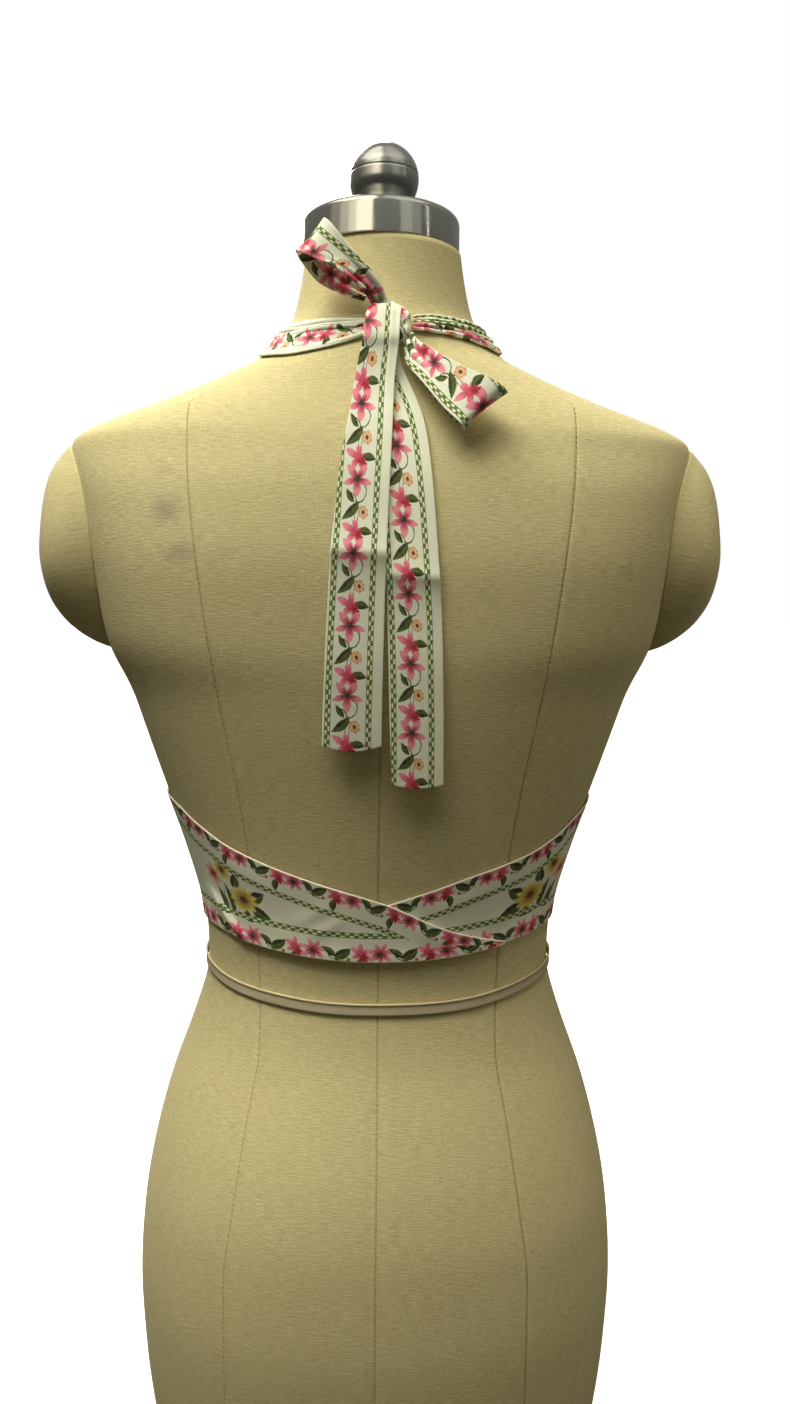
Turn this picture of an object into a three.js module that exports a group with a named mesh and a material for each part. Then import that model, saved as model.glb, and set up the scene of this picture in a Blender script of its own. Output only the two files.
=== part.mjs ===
// Halter top on a limbless dress form.
// Millimetres, +Z up. The wearer's front faces -Y and the wearer's left side is +X.
// The origin is on the floor, under the middle of the whole.

import * as THREE from 'three';

// ---------------------------------------------------------------- driving dimensions

const AXIS_Y = 0.53;            // the form's upright axis, behind the middle of the whole
const NECK_TOP = 872;           // height of the form's cloth-covered neck
const ARMHOLE_LOW = 602;        // lowest point of the armhole plate
const ARMHOLE_HIGH = 742;       // highest point of the armhole plate

const CLOTH_WALL = 1.6;         // the body panels, with their turned edges
const TIE_WALL = 1.2;           // the tie, a band sewn double and pressed flat
const CLOTH_GAP = 1;            // panels clear the form by this
const FRONT_GAP = 1.4;          // and the front by a little more, over the ribs
const SEAM_GAP = 0.3;           // clearance between two pieces

const HEM_SIDE = 418;           // hem height at the side seam
const HEM_DIP = 11;             // the hem is this much lower at the centre back
const SIDE_SEAM = -4;           // degrees round from the side, towards the front

const TAPE_TOP_SIDE = 391;      // upper edge of the waist tape at the side
const TAPE_DIP = 12;
const TAPE_WIDTH = 8;

const COLLAR_RADIUS = 54.1;
const COLLAR_HEIGHT = 25.1;
const COLLAR_ROUND = 6;         // its rounded upper rim
const COLLAR_ASIDE = 2;         // it sits a little to the wearer's left
const KNOB_RADIUS = 23.8;
const KNOB_CENTRE = 923.8;
const KNOB_GROOVE = 2.6;        // the groove is this much above the ball's middle

// The form's level sections: half width, depth behind and before the axis, and
// how square each half is (2 is an ellipse).
const SECTIONS = [
  { z: 0, side: 149, back: 108, front: 95, squareBack: 2.3, squareFront: 2.3 },
  { z: 60, side: 160, back: 120, front: 99, squareBack: 2.3, squareFront: 2.3 },
  { z: 110, side: 166, back: 128, front: 102, squareBack: 2.3, squareFront: 2.3 },
  { z: 165, side: 168.8, back: 132, front: 104, squareBack: 2.3, squareFront: 2.3 },
  { z: 215, side: 165.5, back: 131, front: 105, squareBack: 2.3, squareFront: 2.3 },
  { z: 257, side: 158.5, back: 126, front: 103, squareBack: 2.25, squareFront: 2.25 },
  { z: 300, side: 147, back: 115.5, front: 99, squareBack: 2.2, squareFront: 2.2 },
  { z: 347, side: 130, back: 101.5, front: 93, squareBack: 2.15, squareFront: 2.15 },
  { z: 384, side: 120.5, back: 96, front: 90, squareBack: 2.15, squareFront: 2.15 },
  { z: 421, side: 122.5, back: 98, front: 92, squareBack: 2.15, squareFront: 2.15 },
  { z: 465, side: 133.8, back: 104, front: 96, squareBack: 2.2, squareFront: 2.2 },
  { z: 510, side: 149.5, back: 110, front: 99, squareBack: 2.3, squareFront: 2.3 },
  { z: 552, side: 163.5, back: 116, front: 100, squareBack: 2.4, squareFront: 2.4 },
  { z: 580, side: 172.8, back: 119, front: 100, squareBack: 2.5, squareFront: 2.5 },
  { z: 602, side: 184.5, back: 120.5, front: 99, squareBack: 2.7, squareFront: 2.6 },
  { z: 650, side: 195.5, back: 119.5, front: 96, squareBack: 2.8, squareFront: 2.7 },
  { z: 700, side: 206.5, back: 111.5, front: 88, squareBack: 2.6, squareFront: 2.6 },
  { z: 733, side: 213.5, back: 101.5, front: 79, squareBack: 2.25, squareFront: 2.5 },
  { z: 743, side: 212, back: 97.5, front: 75, squareBack: 2.2, squareFront: 2.4 },
  { z: 750, side: 202, back: 94.5, front: 71, squareBack: 2.15, squareFront: 2.4 },
  { z: 757, side: 185, back: 91.2, front: 67, squareBack: 2.15, squareFront: 2.35 },
  { z: 764, side: 165.5, back: 88, front: 63, squareBack: 2.15, squareFront: 2.3 },
  { z: 771, side: 147, back: 84.8, front: 60, squareBack: 2.1, squareFront: 2.2 },
  { z: 785, side: 113.5, back: 78.5, front: 55, squareBack: 2.1, squareFront: 2.1 },
  { z: 799, side: 86, back: 72, front: 51, squareBack: 2, squareFront: 2 },
  { z: 813, side: 72, back: 66, front: 48, squareBack: 2, squareFront: 2 },
  { z: 828, side: 62, back: 60.5, front: 49, squareBack: 2, squareFront: 2 },
  { z: 850, side: 56.4, back: 56, front: 52, squareBack: 2, squareFront: 2 },
  { z: 872, side: 53, back: 53, front: 54, squareBack: 2, squareFront: 2 },
];

// The bust of the form, and the softer line of the cloth over it: the cloth spans
// the hollow between the cups and falls straighter below them.
const FORM_CUPS = { x: 86, z: 556, rise: 34, wide: 58, above: 72, below: 44, span: 0 };
const CLOTH_CUPS = { x: 86, z: 556, rise: 35, wide: 60, above: 74, below: 62, span: 0.8 };

// Shoulder cap: ovals that stand out from the armhole plate, each with its low and
// high ends measured up the plate, and its half depth.
const CAP_RINGS = [
  { out: 0, low: 0, high: 143, deep: 54 },
  { out: 3.5, low: 1.5, high: 139, deep: 53.5 },
  { out: 9, low: 5, high: 133, deep: 52 },
  { out: 16, low: 11, high: 123, deep: 49 },
  { out: 23, low: 19, high: 109, deep: 44 },
  { out: 28.5, low: 28, high: 93, deep: 36 },
  { out: 32.3, low: 38, high: 79, deep: 26 },
  { out: 34.2, low: 52, high: 65, deep: 9 },
];
const CAP_MIDDLE_Y = 6;         // the armhole's middle, behind the axis

// Back wing: height of its upper edge at each angle round from the side seam.
// It passes the centre back at 90 degrees and ends in a point at the hem.
const WING_EDGE = [
  { turn: SIDE_SEAM, left: 506, right: 505 },
  { turn: 14, left: 504, right: 500 },
  { turn: 26, left: 499.5, right: 493 },
  { turn: 35, left: 490.5, right: 483.5 },
  { turn: 45, left: 482, right: 475 },
  { turn: 56, left: 473, right: 468 },
  { turn: 66, left: 465.5, right: 462 },
  { turn: 77, left: 457.5, right: 453.5 },
  { turn: 86, left: 451, right: 446.5 },
  { turn: 92, left: 445.5, right: 441 },
  { turn: 97, left: 440, right: 436 },
  { turn: 103, left: 433, right: 430 },
  { turn: 111, left: 426, right: 424.5 },
  { turn: 120, left: 420.5, right: 420.5 },
  { turn: 130, left: 415.5, right: 416 },
];

// Front: its inner edge (centre front, then neckline) and its outer edge (side
// seam, then armhole) from the hem up to the strap. SEAM stands for the side seam.
const SEAM = Infinity;
const FRONT_ROWS = [
  { innerX: 0, innerZ: 418, outerX: SEAM, outerZ: 418 },
  { innerX: 0, innerZ: 446, outerX: SEAM, outerZ: 450 },
  { innerX: 0, innerZ: 476, outerX: SEAM, outerZ: 480 },
  { innerX: 0, innerZ: 506, outerX: SEAM, outerZ: 506 },
  { innerX: 0, innerZ: 540, outerX: 148, outerZ: 538 },
  { innerX: 0, innerZ: 572, outerX: 139, outerZ: 574 },
  { innerX: 14, innerZ: 600, outerX: 129, outerZ: 611 },
  { innerX: 29, innerZ: 632, outerX: 119, outerZ: 641 },
  { innerX: 44, innerZ: 664, outerX: 110, outerZ: 670 },
  { innerX: 61, innerZ: 702, outerX: 100, outerZ: 700 },
];

// Left neck strap, from the knot over the shoulder (where both edges lie on the
// form's side line) down to the front.
const STRAP_START = 9.7;
const STRAP_ROWS = [
  { face: 1, innerX: STRAP_START, innerZ: 813.5, outerX: STRAP_START, outerZ: 802.5 },
  { face: 1, innerX: 22, innerZ: 814.5, outerX: 23, outerZ: 798 },
  { face: 1, innerX: 38, innerZ: 816, outerX: 40, outerZ: 794 },
  { face: 1, innerX: 52, innerZ: 817, outerX: 60, outerZ: 791.5 },
  { face: 1, innerX: 60.5, innerZ: 819, outerX: 76, outerZ: 793.5 },
  { face: 0, innerX: 64, innerZ: 822, outerX: 80, outerZ: 802 },
  { face: -1, innerX: 66, innerZ: 811, outerX: 90, outerZ: 791 },
  { face: -1, innerX: 66, innerZ: 797, outerX: 94, outerZ: 779 },
  { face: -1, innerX: 65, innerZ: 777, outerX: 96.5, outerZ: 762 },
  { face: -1, innerX: 64, innerZ: 755, outerX: 98, outerZ: 744 },
  { face: -1, innerX: 62.5, innerZ: 730, outerX: 99, outerZ: 724 },
  { face: -1, innerX: 61, innerZ: 702.4, outerX: 100, outerZ: 700.4 },
];

// The right strap's start is this much farther out and its first rows this much higher.
const RIGHT_STRAP_START = 9;
const RIGHT_STRAP_HIGHER = [
  { inner: 2, outer: 1.5 },
  { inner: 2, outer: 5.5 },
  { inner: 2, outer: 9 },
  { inner: 1.5, outer: 10 },
  { inner: 1, outer: 6 },
  { inner: 0, outer: 2 },
];

const KNOT = { x: -4.2, z: 808.5, halfWidth: 13.6, halfHeight: 13, edge: 8, rise: 14.5 };

// Tails: width between left and right at each height, and how far the cloth
// stands off the form. The lower ends hang clear of the small of the back.
const LEFT_TAIL = [
  { z: 821, left: 9.3, right: -11, clear: 14.2 },
  { z: 816, left: 10.2, right: -10.8, clear: 16.4 },
  { z: 808, left: 11, right: -10.5, clear: 16.4 },
  { z: 799, left: 12, right: -10.2, clear: 15.6 },
  { z: 791, left: 13.5, right: -9.6, clear: 12 },
  { z: 781, left: 15.5, right: -8.5, clear: 9 },
  { z: 769, left: 17.5, right: -7.5, clear: 6.6 },
  { z: 757, left: 19, right: -7, clear: 5.4 },
  { z: 742, left: 21.4, right: -6.5, clear: 5 },
  { z: 725, left: 24.2, right: -5.8, clear: 4.4 },
  { z: 690, left: 28, right: -4.2, clear: 4 },
  { z: 660, left: 30.5, right: -3.2, clear: 4.3 },
  { z: 625, left: 32.2, right: -2.2, clear: 5 },
  { z: 587, left: 33.8, right: -1.5, clear: 6.6 },
  { z: 548, left: 35, right: -1, clear: 9 },
];
const RIGHT_TAIL = [
  { z: 794.7, left: 6, right: -9.5, clear: 4.3 },
  { z: 782, left: 5, right: -12, clear: 1.8 },
  { z: 769, left: 4, right: -17, clear: 1.4 },
  { z: 757, left: 3, right: -22, clear: 1.4 },
  { z: 742, left: 2, right: -26.4, clear: 1.4 },
  { z: 725, left: 1, right: -29, clear: 1.4 },
  { z: 690, left: -1, right: -32.4, clear: 1.4 },
  { z: 656, left: -3, right: -34.8, clear: 1.6 },
  { z: 620, left: -4.2, right: -37, clear: 2.8 },
  { z: 585, left: -5.2, right: -38, clear: 5 },
  { z: 555, left: -6.2, right: -38.6, clear: 7.6 },
  { z: 524, left: -7.7, right: -38.8, clear: 10.5 },
];

// Bow loops: the upper and lower edge of the band, out along the near layer,
// round the end and back along the far layer. Heights and depths from the axis.
const UPPER_LOOP = [
  { upper: [-4, 70.5, 822.3], lower: [6.5, 70.5, 822.3] },
  { upper: [3.5, 78, 836.5], lower: [13, 78, 829] },
  { upper: [15, 81, 848], lower: [27, 80, 839.5] },
  { upper: [26, 80, 861], lower: [41, 78, 846.5] },
  { upper: [34, 76, 871], lower: [52, 74, 852.5] },
  { upper: [36.5, 70, 874], lower: [55, 68, 854.5] },
  { upper: [34, 64.5, 870.5], lower: [52.5, 62, 850.5] },
  { upper: [26, 64, 858], lower: [41, 61, 837.5] },
  { upper: [15, 65.5, 844], lower: [26, 64, 830] },
  { upper: [4, 68, 831], lower: [12, 67.5, 825.5] },
];
const LOWER_LOOP = [
  { upper: [-19, 78.5, 802], lower: [-13, 84, 791.5] },
  { upper: [-21.5, 85, 797], lower: [-14, 88, 784] },
  { upper: [-33, 93, 788.5], lower: [-24, 100, 768.5] },
  { upper: [-50, 102, 777.5], lower: [-36, 108.5, 752.5] },
  { upper: [-71, 108.5, 766], lower: [-46.5, 114, 741.5] },
  { upper: [-75.5, 104.5, 763], lower: [-48.5, 111, 739] },
  { upper: [-71, 99.5, 765], lower: [-47, 107.5, 741.5] },
  { upper: [-50, 92.5, 776.5], lower: [-36.5, 103, 752.5] },
  { upper: [-32, 85.5, 787], lower: [-25, 94.5, 768] },
  { upper: [-21, 80, 796], lower: [-15.5, 86, 783.5] },
];

// ---------------------------------------------------------------- finishes

const FINISHES = {
  linen: { color: 0xd8ccA0, roughness: 0.9, metalness: 0 },
  print: { color: 0xf0ece0, roughness: 0.75, metalness: 0 },
  tape: { color: 0xe6dfc4, roughness: 0.85, metalness: 0 },
  steel: { color: 0xa9a9a6, roughness: 0.35, metalness: 1 },
};

function finish(name) {
  return new THREE.MeshStandardMaterial(FINISHES[name]);
}

// ---------------------------------------------------------------- small helpers

const radians = THREE.MathUtils.degToRad;
const lerp = THREE.MathUtils.lerp;

// A smooth curve through a table's column that never overshoots its rows.
function smoothColumn(rows, key, column) {
  const x = rows.map((row) => row[key]);
  const y = rows.map((row) => row[column]);
  const last = x.length - 1;
  const slope = x.slice(1).map((value, i) => (y[i + 1] - y[i]) / (value - x[i]));
  const tangent = x.map((_, i) => {
    const before = slope[Math.max(0, i - 1)];
    const after = slope[Math.min(last - 1, i)];
    return before * after <= 0 ? 0 : 2 * before * after / (before + after);
  });
  return (at) => {
    const value = THREE.MathUtils.clamp(at, Math.min(x[0], x[last]), Math.max(x[0], x[last]));
    const rising = x[last] > x[0];
    let i = x.findIndex((edge) => (rising ? edge > value : edge < value)) - 1;
    i = i < 0 ? last - 1 : i;
    const step = x[i + 1] - x[i];
    const f = (value - x[i]) / step;
    const near = (1 + 2 * f) * (1 - f) ** 2 * y[i] + f * (1 - f) ** 2 * step * tangent[i];
    return near + f * f * (3 - 2 * f) * y[i + 1] + f * f * (f - 1) * step * tangent[i + 1];
  };
}

function steps(from, to, count) {
  return Array.from({ length: count + 1 }, (_, i) => lerp(from, to, i / count));
}

// Heights or other places through a table, with extra ones between its rows.
function between(values, extra) {
  return values.slice(1).flatMap((value, i) => (
    steps(values[i], value, extra + 1).slice(i ? 1 : 0)
  ));
}

// A closed solid from points and triangles.
function solid(points, triangles) {
  const geometry = new THREE.BufferGeometry();
  const flat = points.flatMap((point) => [point.x, point.y + AXIS_Y, point.z]);
  geometry.setAttribute('position', new THREE.Float32BufferAttribute(flat, 3));
  geometry.setIndex(triangles);
  geometry.computeVertexNormals();
  return geometry;
}

function quad(a, b, c, d) {
  return [a, b, c, a, c, d];
}

// Closed rings of equal length, stacked and capped with a fan at each end. The
// rings turn anticlockwise seen from the far end.
function loft(rings) {
  const count = rings[0].length;
  const points = rings.flat();
  const triangles = [];
  for (let row = 0; row < rings.length - 1; row += 1) {
    for (let i = 0; i < count; i += 1) {
      const next = (i + 1) % count;
      const below = row * count;
      const above = below + count;
      triangles.push(...quad(below + i, below + next, above + next, above + i));
    }
  }
  const last = (rings.length - 1) * count;
  const foot = points.push(middleOf(rings[0])) - 1;
  const head = points.push(middleOf(rings[rings.length - 1])) - 1;
  for (let i = 0; i < count; i += 1) {
    const next = (i + 1) % count;
    triangles.push(foot, next, i);
    triangles.push(head, last + i, last + next);
  }
  return solid(points, triangles);
}

function middleOf(ring) {
  const sum = ring.reduce((total, point) => total.add(point), new THREE.Vector3());
  return sum.divideScalar(ring.length);
}

// A cloth wall on a sheet of points. faces are quads of point numbers whose outer
// side shows them anticlockwise; the wall grows outwards, and its rim follows the
// edges that only one face has.
function clothWall(points, faces, wall) {
  const normals = points.map(() => new THREE.Vector3());
  const edges = new Map();
  for (const face of faces) {
    const across = points[face[2]].clone().sub(points[face[0]]);
    const normal = across.cross(points[face[3]].clone().sub(points[face[1]]));
    face.forEach((corner, i) => {
      normals[corner].add(normal);
      edges.set(`${corner},${face[(i + 1) % 4]}`, [corner, face[(i + 1) % 4]]);
    });
  }
  const outer = points.map((point, i) => (
    point.clone().addScaledVector(normals[i].normalize(), wall)
  ));
  const shift = points.length;
  const triangles = [];
  for (const [a, b, c, d] of faces) {
    triangles.push(...quad(d, c, b, a));
    triangles.push(...quad(a + shift, b + shift, c + shift, d + shift));
  }
  for (const [a, b] of edges.values()) {
    if (!edges.has(`${b},${a}`)) {
      triangles.push(...quad(a, b, b + shift, a + shift));
    }
  }
  return solid([...points, ...outer], triangles);
}

// The quads of a sheet whose rows all have the same number of points.
function sheetFaces(rowCount, columnCount, turned = false) {
  const faces = [];
  for (let row = 0; row < rowCount - 1; row += 1) {
    for (let column = 0; column < columnCount - 1; column += 1) {
      const a = row * columnCount + column;
      const face = [a, a + 1, a + 1 + columnCount, a + columnCount];
      faces.push(turned ? face.reverse() : face);
    }
  }
  return faces;
}

function mirrored(point) {
  return new THREE.Vector3(-point.x, point.y, point.z);
}

// ---------------------------------------------------------------- the form's surface

const side = smoothColumn(SECTIONS, 'z', 'side');
const back = smoothColumn(SECTIONS, 'z', 'back');
const front = smoothColumn(SECTIONS, 'z', 'front');
const squareBack = smoothColumn(SECTIONS, 'z', 'squareBack');
const squareFront = smoothColumn(SECTIONS, 'z', 'squareFront');

// How far the bust stands out at a point of the front.
function cupRise(x, z, cups) {
  const height = (z - cups.z) / (z > cups.z ? cups.above : cups.below);
  const across = (Math.abs(x) - cups.x) / cups.wide;
  const mirrorAcross = (Math.abs(x) + cups.x) / cups.wide;
  let share = Math.exp(-across * across) + Math.exp(-mirrorAcross * mirrorAcross);
  if (Math.abs(x) < cups.x) {
    share = lerp(share, 1, cups.span);
  }
  return cups.rise * Math.exp(-height * height) * share;
}

// A point on the form. angle is in degrees, 0 at the wearer's left side, 90 at the
// centre back and -90 at the centre front.
function surfacePoint(angle, z, cups) {
  const turn = radians(angle);
  const behind = Math.sin(turn) >= 0;
  const power = 2 / (behind ? squareBack(z) : squareFront(z));
  const x = side(z) * Math.sign(Math.cos(turn)) * Math.abs(Math.cos(turn)) ** power;
  const reach = Math.abs(Math.sin(turn)) ** power;
  if (behind) {
    return new THREE.Vector3(x, back(z) * reach, z);
  }
  const bust = cupRise(x, z, cups) * Math.abs(Math.sin(turn));
  return new THREE.Vector3(x, -front(z) * reach - bust, z);
}

// The same point moved out square to the surface.
function bodyPoint(angle, z, out = 0, cups = FORM_CUPS) {
  const point = surfacePoint(angle, z, cups);
  if (out === 0) {
    return point;
  }
  const low = Math.max(z - 1, 0);
  const high = Math.min(z + 1, NECK_TOP);
  const round = surfacePoint(angle + 1, z, cups).sub(surfacePoint(angle - 1, z, cups));
  const up = surfacePoint(angle, high, cups).sub(surfacePoint(angle, low, cups));
  return point.addScaledVector(round.cross(up).normalize(), out);
}

// The angle at which a level section reaches x, on the back (face 1), on the
// side line (face 0) or on the front (face -1).
function angleAt(x, z, face) {
  const square = face > 0 ? squareBack(z) : squareFront(z);
  const share = Math.min(Math.abs(x) / side(z), 1);
  const angle = THREE.MathUtils.radToDeg(Math.acos(share ** (square / 2)));
  return face * (x < 0 ? 180 - angle : angle);
}

// Depth of the form's back at x and z.
function backDepth(x, z) {
  const square = squareBack(z);
  return back(z) * (1 - (Math.abs(x) / side(z)) ** square) ** (1 / square);
}

// ---------------------------------------------------------------- the dress form

function formBody() {
  const ROUND = 48;
  const heights = [
    ...steps(0, 300, 12),
    ...steps(300, 560, 14).slice(1),
    ...steps(560, 740, 12).slice(1),
    ...steps(740, 832, 16).slice(1),
    ...steps(832, NECK_TOP, 3).slice(1),
  ];
  const angles = steps(0, 360, ROUND).slice(0, ROUND);
  const rings = heights.map((z) => angles.map((angle) => (
    bodyPoint(angle > 180 ? angle - 360 : angle, z)
  )));
  return loft(rings);
}

// One shoulder cap: its underside lies on the armhole plate of the body, and its
// ovals grow from there into a soft dome.
function shoulderCap(mirror) {
  const ROUND = 28;
  const PLATE_RINGS = [0.25, 0.5, 0.7, 0.85, 0.94];
  const PLATE_GAP = 1;
  const low = new THREE.Vector2(side(ARMHOLE_LOW), ARMHOLE_LOW);
  const up = new THREE.Vector2(side(ARMHOLE_HIGH), ARMHOLE_HIGH).sub(low).normalize();
  const out = new THREE.Vector2(up.y, -up.x);
  const rim = CAP_RINGS[0];

  const oval = (ring, shrink) => steps(0, 360, ROUND).slice(0, ROUND).map((angle) => {
    const middle = (ring.low + ring.high) / 2;
    const upPlate = middle + (ring.high - middle) * shrink * Math.sin(radians(angle));
    const y = CAP_MIDDLE_Y + ring.deep * shrink * Math.cos(radians(angle));
    const z = low.y + up.y * upPlate;
    const half = y > 0 ? back(z) : front(z);
    const square = y > 0 ? squareBack(z) : squareFront(z);
    const bodyX = side(z) * (1 - (Math.abs(y) / half) ** square) ** (1 / square);
    const plateX = low.x + up.x * upPlate;
    const domed = 1 - (ring.deep / rim.deep) ** 3;
    const x = lerp(bodyX, Math.max(plateX, bodyX), domed) + PLATE_GAP;
    const point = new THREE.Vector3(x + out.x * ring.out, y, z + out.y * ring.out);
    return mirror ? mirrored(point) : point;
  });

  const rings = [
    ...PLATE_RINGS.map((shrink) => oval(rim, shrink)),
    ...CAP_RINGS.map((ring) => oval(ring, 1)),
  ];
  return loft(mirror ? rings.map((ring) => ring.reverse()) : rings);
}

function waistTape() {
  const ROUND = 60;
  const points = steps(0, 360, ROUND).slice(0, ROUND).flatMap((degrees) => {
    const angle = degrees > 180 ? degrees - 360 : degrees;
    const dip = Math.max(0, Math.sin(radians(angle))) ** 1.5;
    const top = TAPE_TOP_SIDE - TAPE_DIP * dip;
    return [
      bodyPoint(angle, top - TAPE_WIDTH, CLOTH_GAP),
      bodyPoint(angle, top, CLOTH_GAP),
    ];
  });
  const faces = Array.from({ length: ROUND }, (_, i) => {
    const next = (i + 1) % ROUND;
    return [2 * i, 2 * next, 2 * next + 1, 2 * i + 1];
  });
  return clothWall(points, faces, 1);
}

// A turned part about the form's axis, from a profile of radius and height.
function turned(profile, round = 48, aside = 0) {
  const points = profile.map(([radius, z]) => new THREE.Vector2(radius, z));
  const geometry = new THREE.LatheGeometry(points, round);
  geometry.rotateX(Math.PI / 2);
  geometry.translate(aside, AXIS_Y, 0);
  return geometry;
}

function neckCollar() {
  const foot = NECK_TOP + SEAM_GAP;
  const top = NECK_TOP + COLLAR_HEIGHT;
  const bevel = 1;
  const rim = steps(0, 90, 4).map((angle) => [
    COLLAR_RADIUS - COLLAR_ROUND * (1 - Math.cos(radians(angle))),
    top - COLLAR_ROUND * (1 - Math.sin(radians(angle))),
  ]);
  return turned([
    [0, foot], [COLLAR_RADIUS - bevel, foot], [COLLAR_RADIUS, foot + bevel], ...rim, [0, top],
  ], 48, COLLAR_ASIDE);
}

// A steel ball on a short stem, with a fine groove round it.
function knob() {
  const foot = NECK_TOP + COLLAR_HEIGHT + SEAM_GAP;
  const STEM_RADIUS = 12;
  const GROOVE = 0.5;
  const ARC_STEPS = 6;
  const stemAngle = Math.asin(STEM_RADIUS / KNOB_RADIUS);
  const grooveAngle = GROOVE / KNOB_RADIUS;
  const grooveAt = Math.PI / 2 + KNOB_GROOVE / KNOB_RADIUS;
  const ball = (angle) => [
    KNOB_RADIUS * Math.sin(angle), KNOB_CENTRE - KNOB_RADIUS * Math.cos(angle),
  ];
  return turned([
    [0, foot], [STEM_RADIUS, foot],
    ...steps(stemAngle, grooveAt - grooveAngle, ARC_STEPS).map(ball),
    [KNOB_RADIUS - GROOVE, KNOB_CENTRE + KNOB_GROOVE],
    ...steps(grooveAt + grooveAngle, Math.PI, ARC_STEPS + 1).slice(0, -1).map(ball),
    [0, KNOB_CENTRE + KNOB_RADIUS],
  ], 32);
}

// ---------------------------------------------------------------- the garment's panels

function hemHeight(angle) {
  return HEM_SIDE - HEM_DIP * Math.max(0, Math.sin(radians(angle))) ** 3;
}

// A back wing. over lifts it clear of the other wing where the two cross.
function backWing(mirror, over) {
  const ACROSS = 4;
  const lapStart = 180 - WING_EDGE[WING_EDGE.length - 1].turn;
  const top = smoothColumn(WING_EDGE, 'turn', mirror ? 'right' : 'left');
  const turns = between(WING_EDGE.map((row) => row.turn), 1);
  const points = turns.flatMap((angle, i) => {
    const start = i === 0 ? angle + 0.1 : angle;
    const lift = over * THREE.MathUtils.smoothstep(angle, lapStart - 15, lapStart - 1);
    return steps(hemHeight(angle), top(angle), ACROSS).map((z) => {
      const point = bodyPoint(start, z, CLOTH_GAP + lift);
      return mirror ? mirrored(point) : point;
    });
  });
  const faces = sheetFaces(turns.length, ACROSS + 1, !mirror);
  return clothWall(points, faces, CLOTH_WALL);
}

// The front in one piece: two mirrored halves that share the centre front up to
// the point of the V neck.
function frontPanel() {
  const ACROSS = 11;
  const FRONT_FACE = -1;
  const innerZs = between(FRONT_ROWS.map((row) => row.innerZ), 2);
  const columns = ['innerX', 'outerZ'].map((key) => smoothColumn(FRONT_ROWS, 'innerZ', key));
  const outerAngles = FRONT_ROWS.map((row) => ({
    innerZ: row.innerZ,
    angle: Math.min(angleAt(row.outerX, row.outerZ, FRONT_FACE), SIDE_SEAM - 0.1),
  }));
  const outerAngle = smoothColumn(outerAngles, 'innerZ', 'angle');
  const points = [];
  const half = (mirror) => innerZs.map((innerZ) => {
    const innerX = columns[0](innerZ);
    const innerAngle = angleAt(innerX, innerZ, FRONT_FACE);
    return steps(0, 1, ACROSS).map((share) => {
      const angle = lerp(innerAngle, outerAngle(innerZ), share);
      const z = lerp(innerZ, columns[1](innerZ), share);
      const point = bodyPoint(angle, z, FRONT_GAP, CLOTH_CUPS);
      return points.push(mirror ? mirrored(point) : point) - 1;
    });
  });
  const left = half(false);
  const right = half(true);
  innerZs.forEach((innerZ, row) => {
    if (columns[0](innerZ) === 0) {
      right[row][0] = left[row][0];
    }
  });
  const faces = [];
  for (let row = 0; row < innerZs.length - 1; row += 1) {
    for (let i = 0; i < ACROSS; i += 1) {
      const leftFace = [left[row][i], left[row][i + 1], left[row + 1][i + 1], left[row + 1][i]];
      const rightFace = [
        right[row][i + 1], right[row][i], right[row + 1][i], right[row + 1][i + 1],
      ];
      faces.push(leftFace, rightFace);
    }
  }
  return clothWall(...withoutSpares(points, faces), CLOTH_WALL);
}

// Drops the points that no face uses.
function withoutSpares(points, faces) {
  const used = [...new Set(faces.flat())].sort((a, b) => a - b);
  const place = new Map(used.map((point, i) => [point, i]));
  return [
    used.map((point) => points[point]),
    faces.map((face) => face.map((corner) => place.get(corner))),
  ];
}

// ---------------------------------------------------------------- the tie

// A neck strap. The right one starts farther out, beside the knot, and its first
// rows lie higher.
function neckStrap(mirror) {
  const ACROSS = 4;
  const places = between(steps(0, STRAP_ROWS.length - 1, STRAP_ROWS.length - 1), 1);
  const rows = STRAP_ROWS.map((row, place) => {
    const start = mirror && place === 0 ? RIGHT_STRAP_START : 0;
    const higher = (mirror && RIGHT_STRAP_HIGHER[place]) || { inner: 0, outer: 0 };
    const innerZ = row.innerZ + higher.inner;
    const outerZ = row.outerZ + higher.outer;
    return {
      place,
      innerAngle: angleAt(row.innerX + start, innerZ, row.face),
      innerZ,
      outerAngle: angleAt(row.outerX + start, outerZ, row.face),
      outerZ,
    };
  });
  const column = (key) => smoothColumn(rows, 'place', key);
  const innerAngle = column('innerAngle');
  const innerZ = column('innerZ');
  const outerAngle = column('outerAngle');
  const outerZ = column('outerZ');
  const points = places.flatMap((place) => steps(0, 1, ACROSS).map((share) => {
    const angle = lerp(outerAngle(place), innerAngle(place), share);
    const z = lerp(outerZ(place), innerZ(place), share);
    const point = bodyPoint(angle, z, CLOTH_GAP, CLOTH_CUPS);
    return mirror ? mirrored(point) : point;
  }));
  return clothWall(points, sheetFaces(places.length, ACROSS + 1, mirror), CLOTH_WALL);
}

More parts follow.
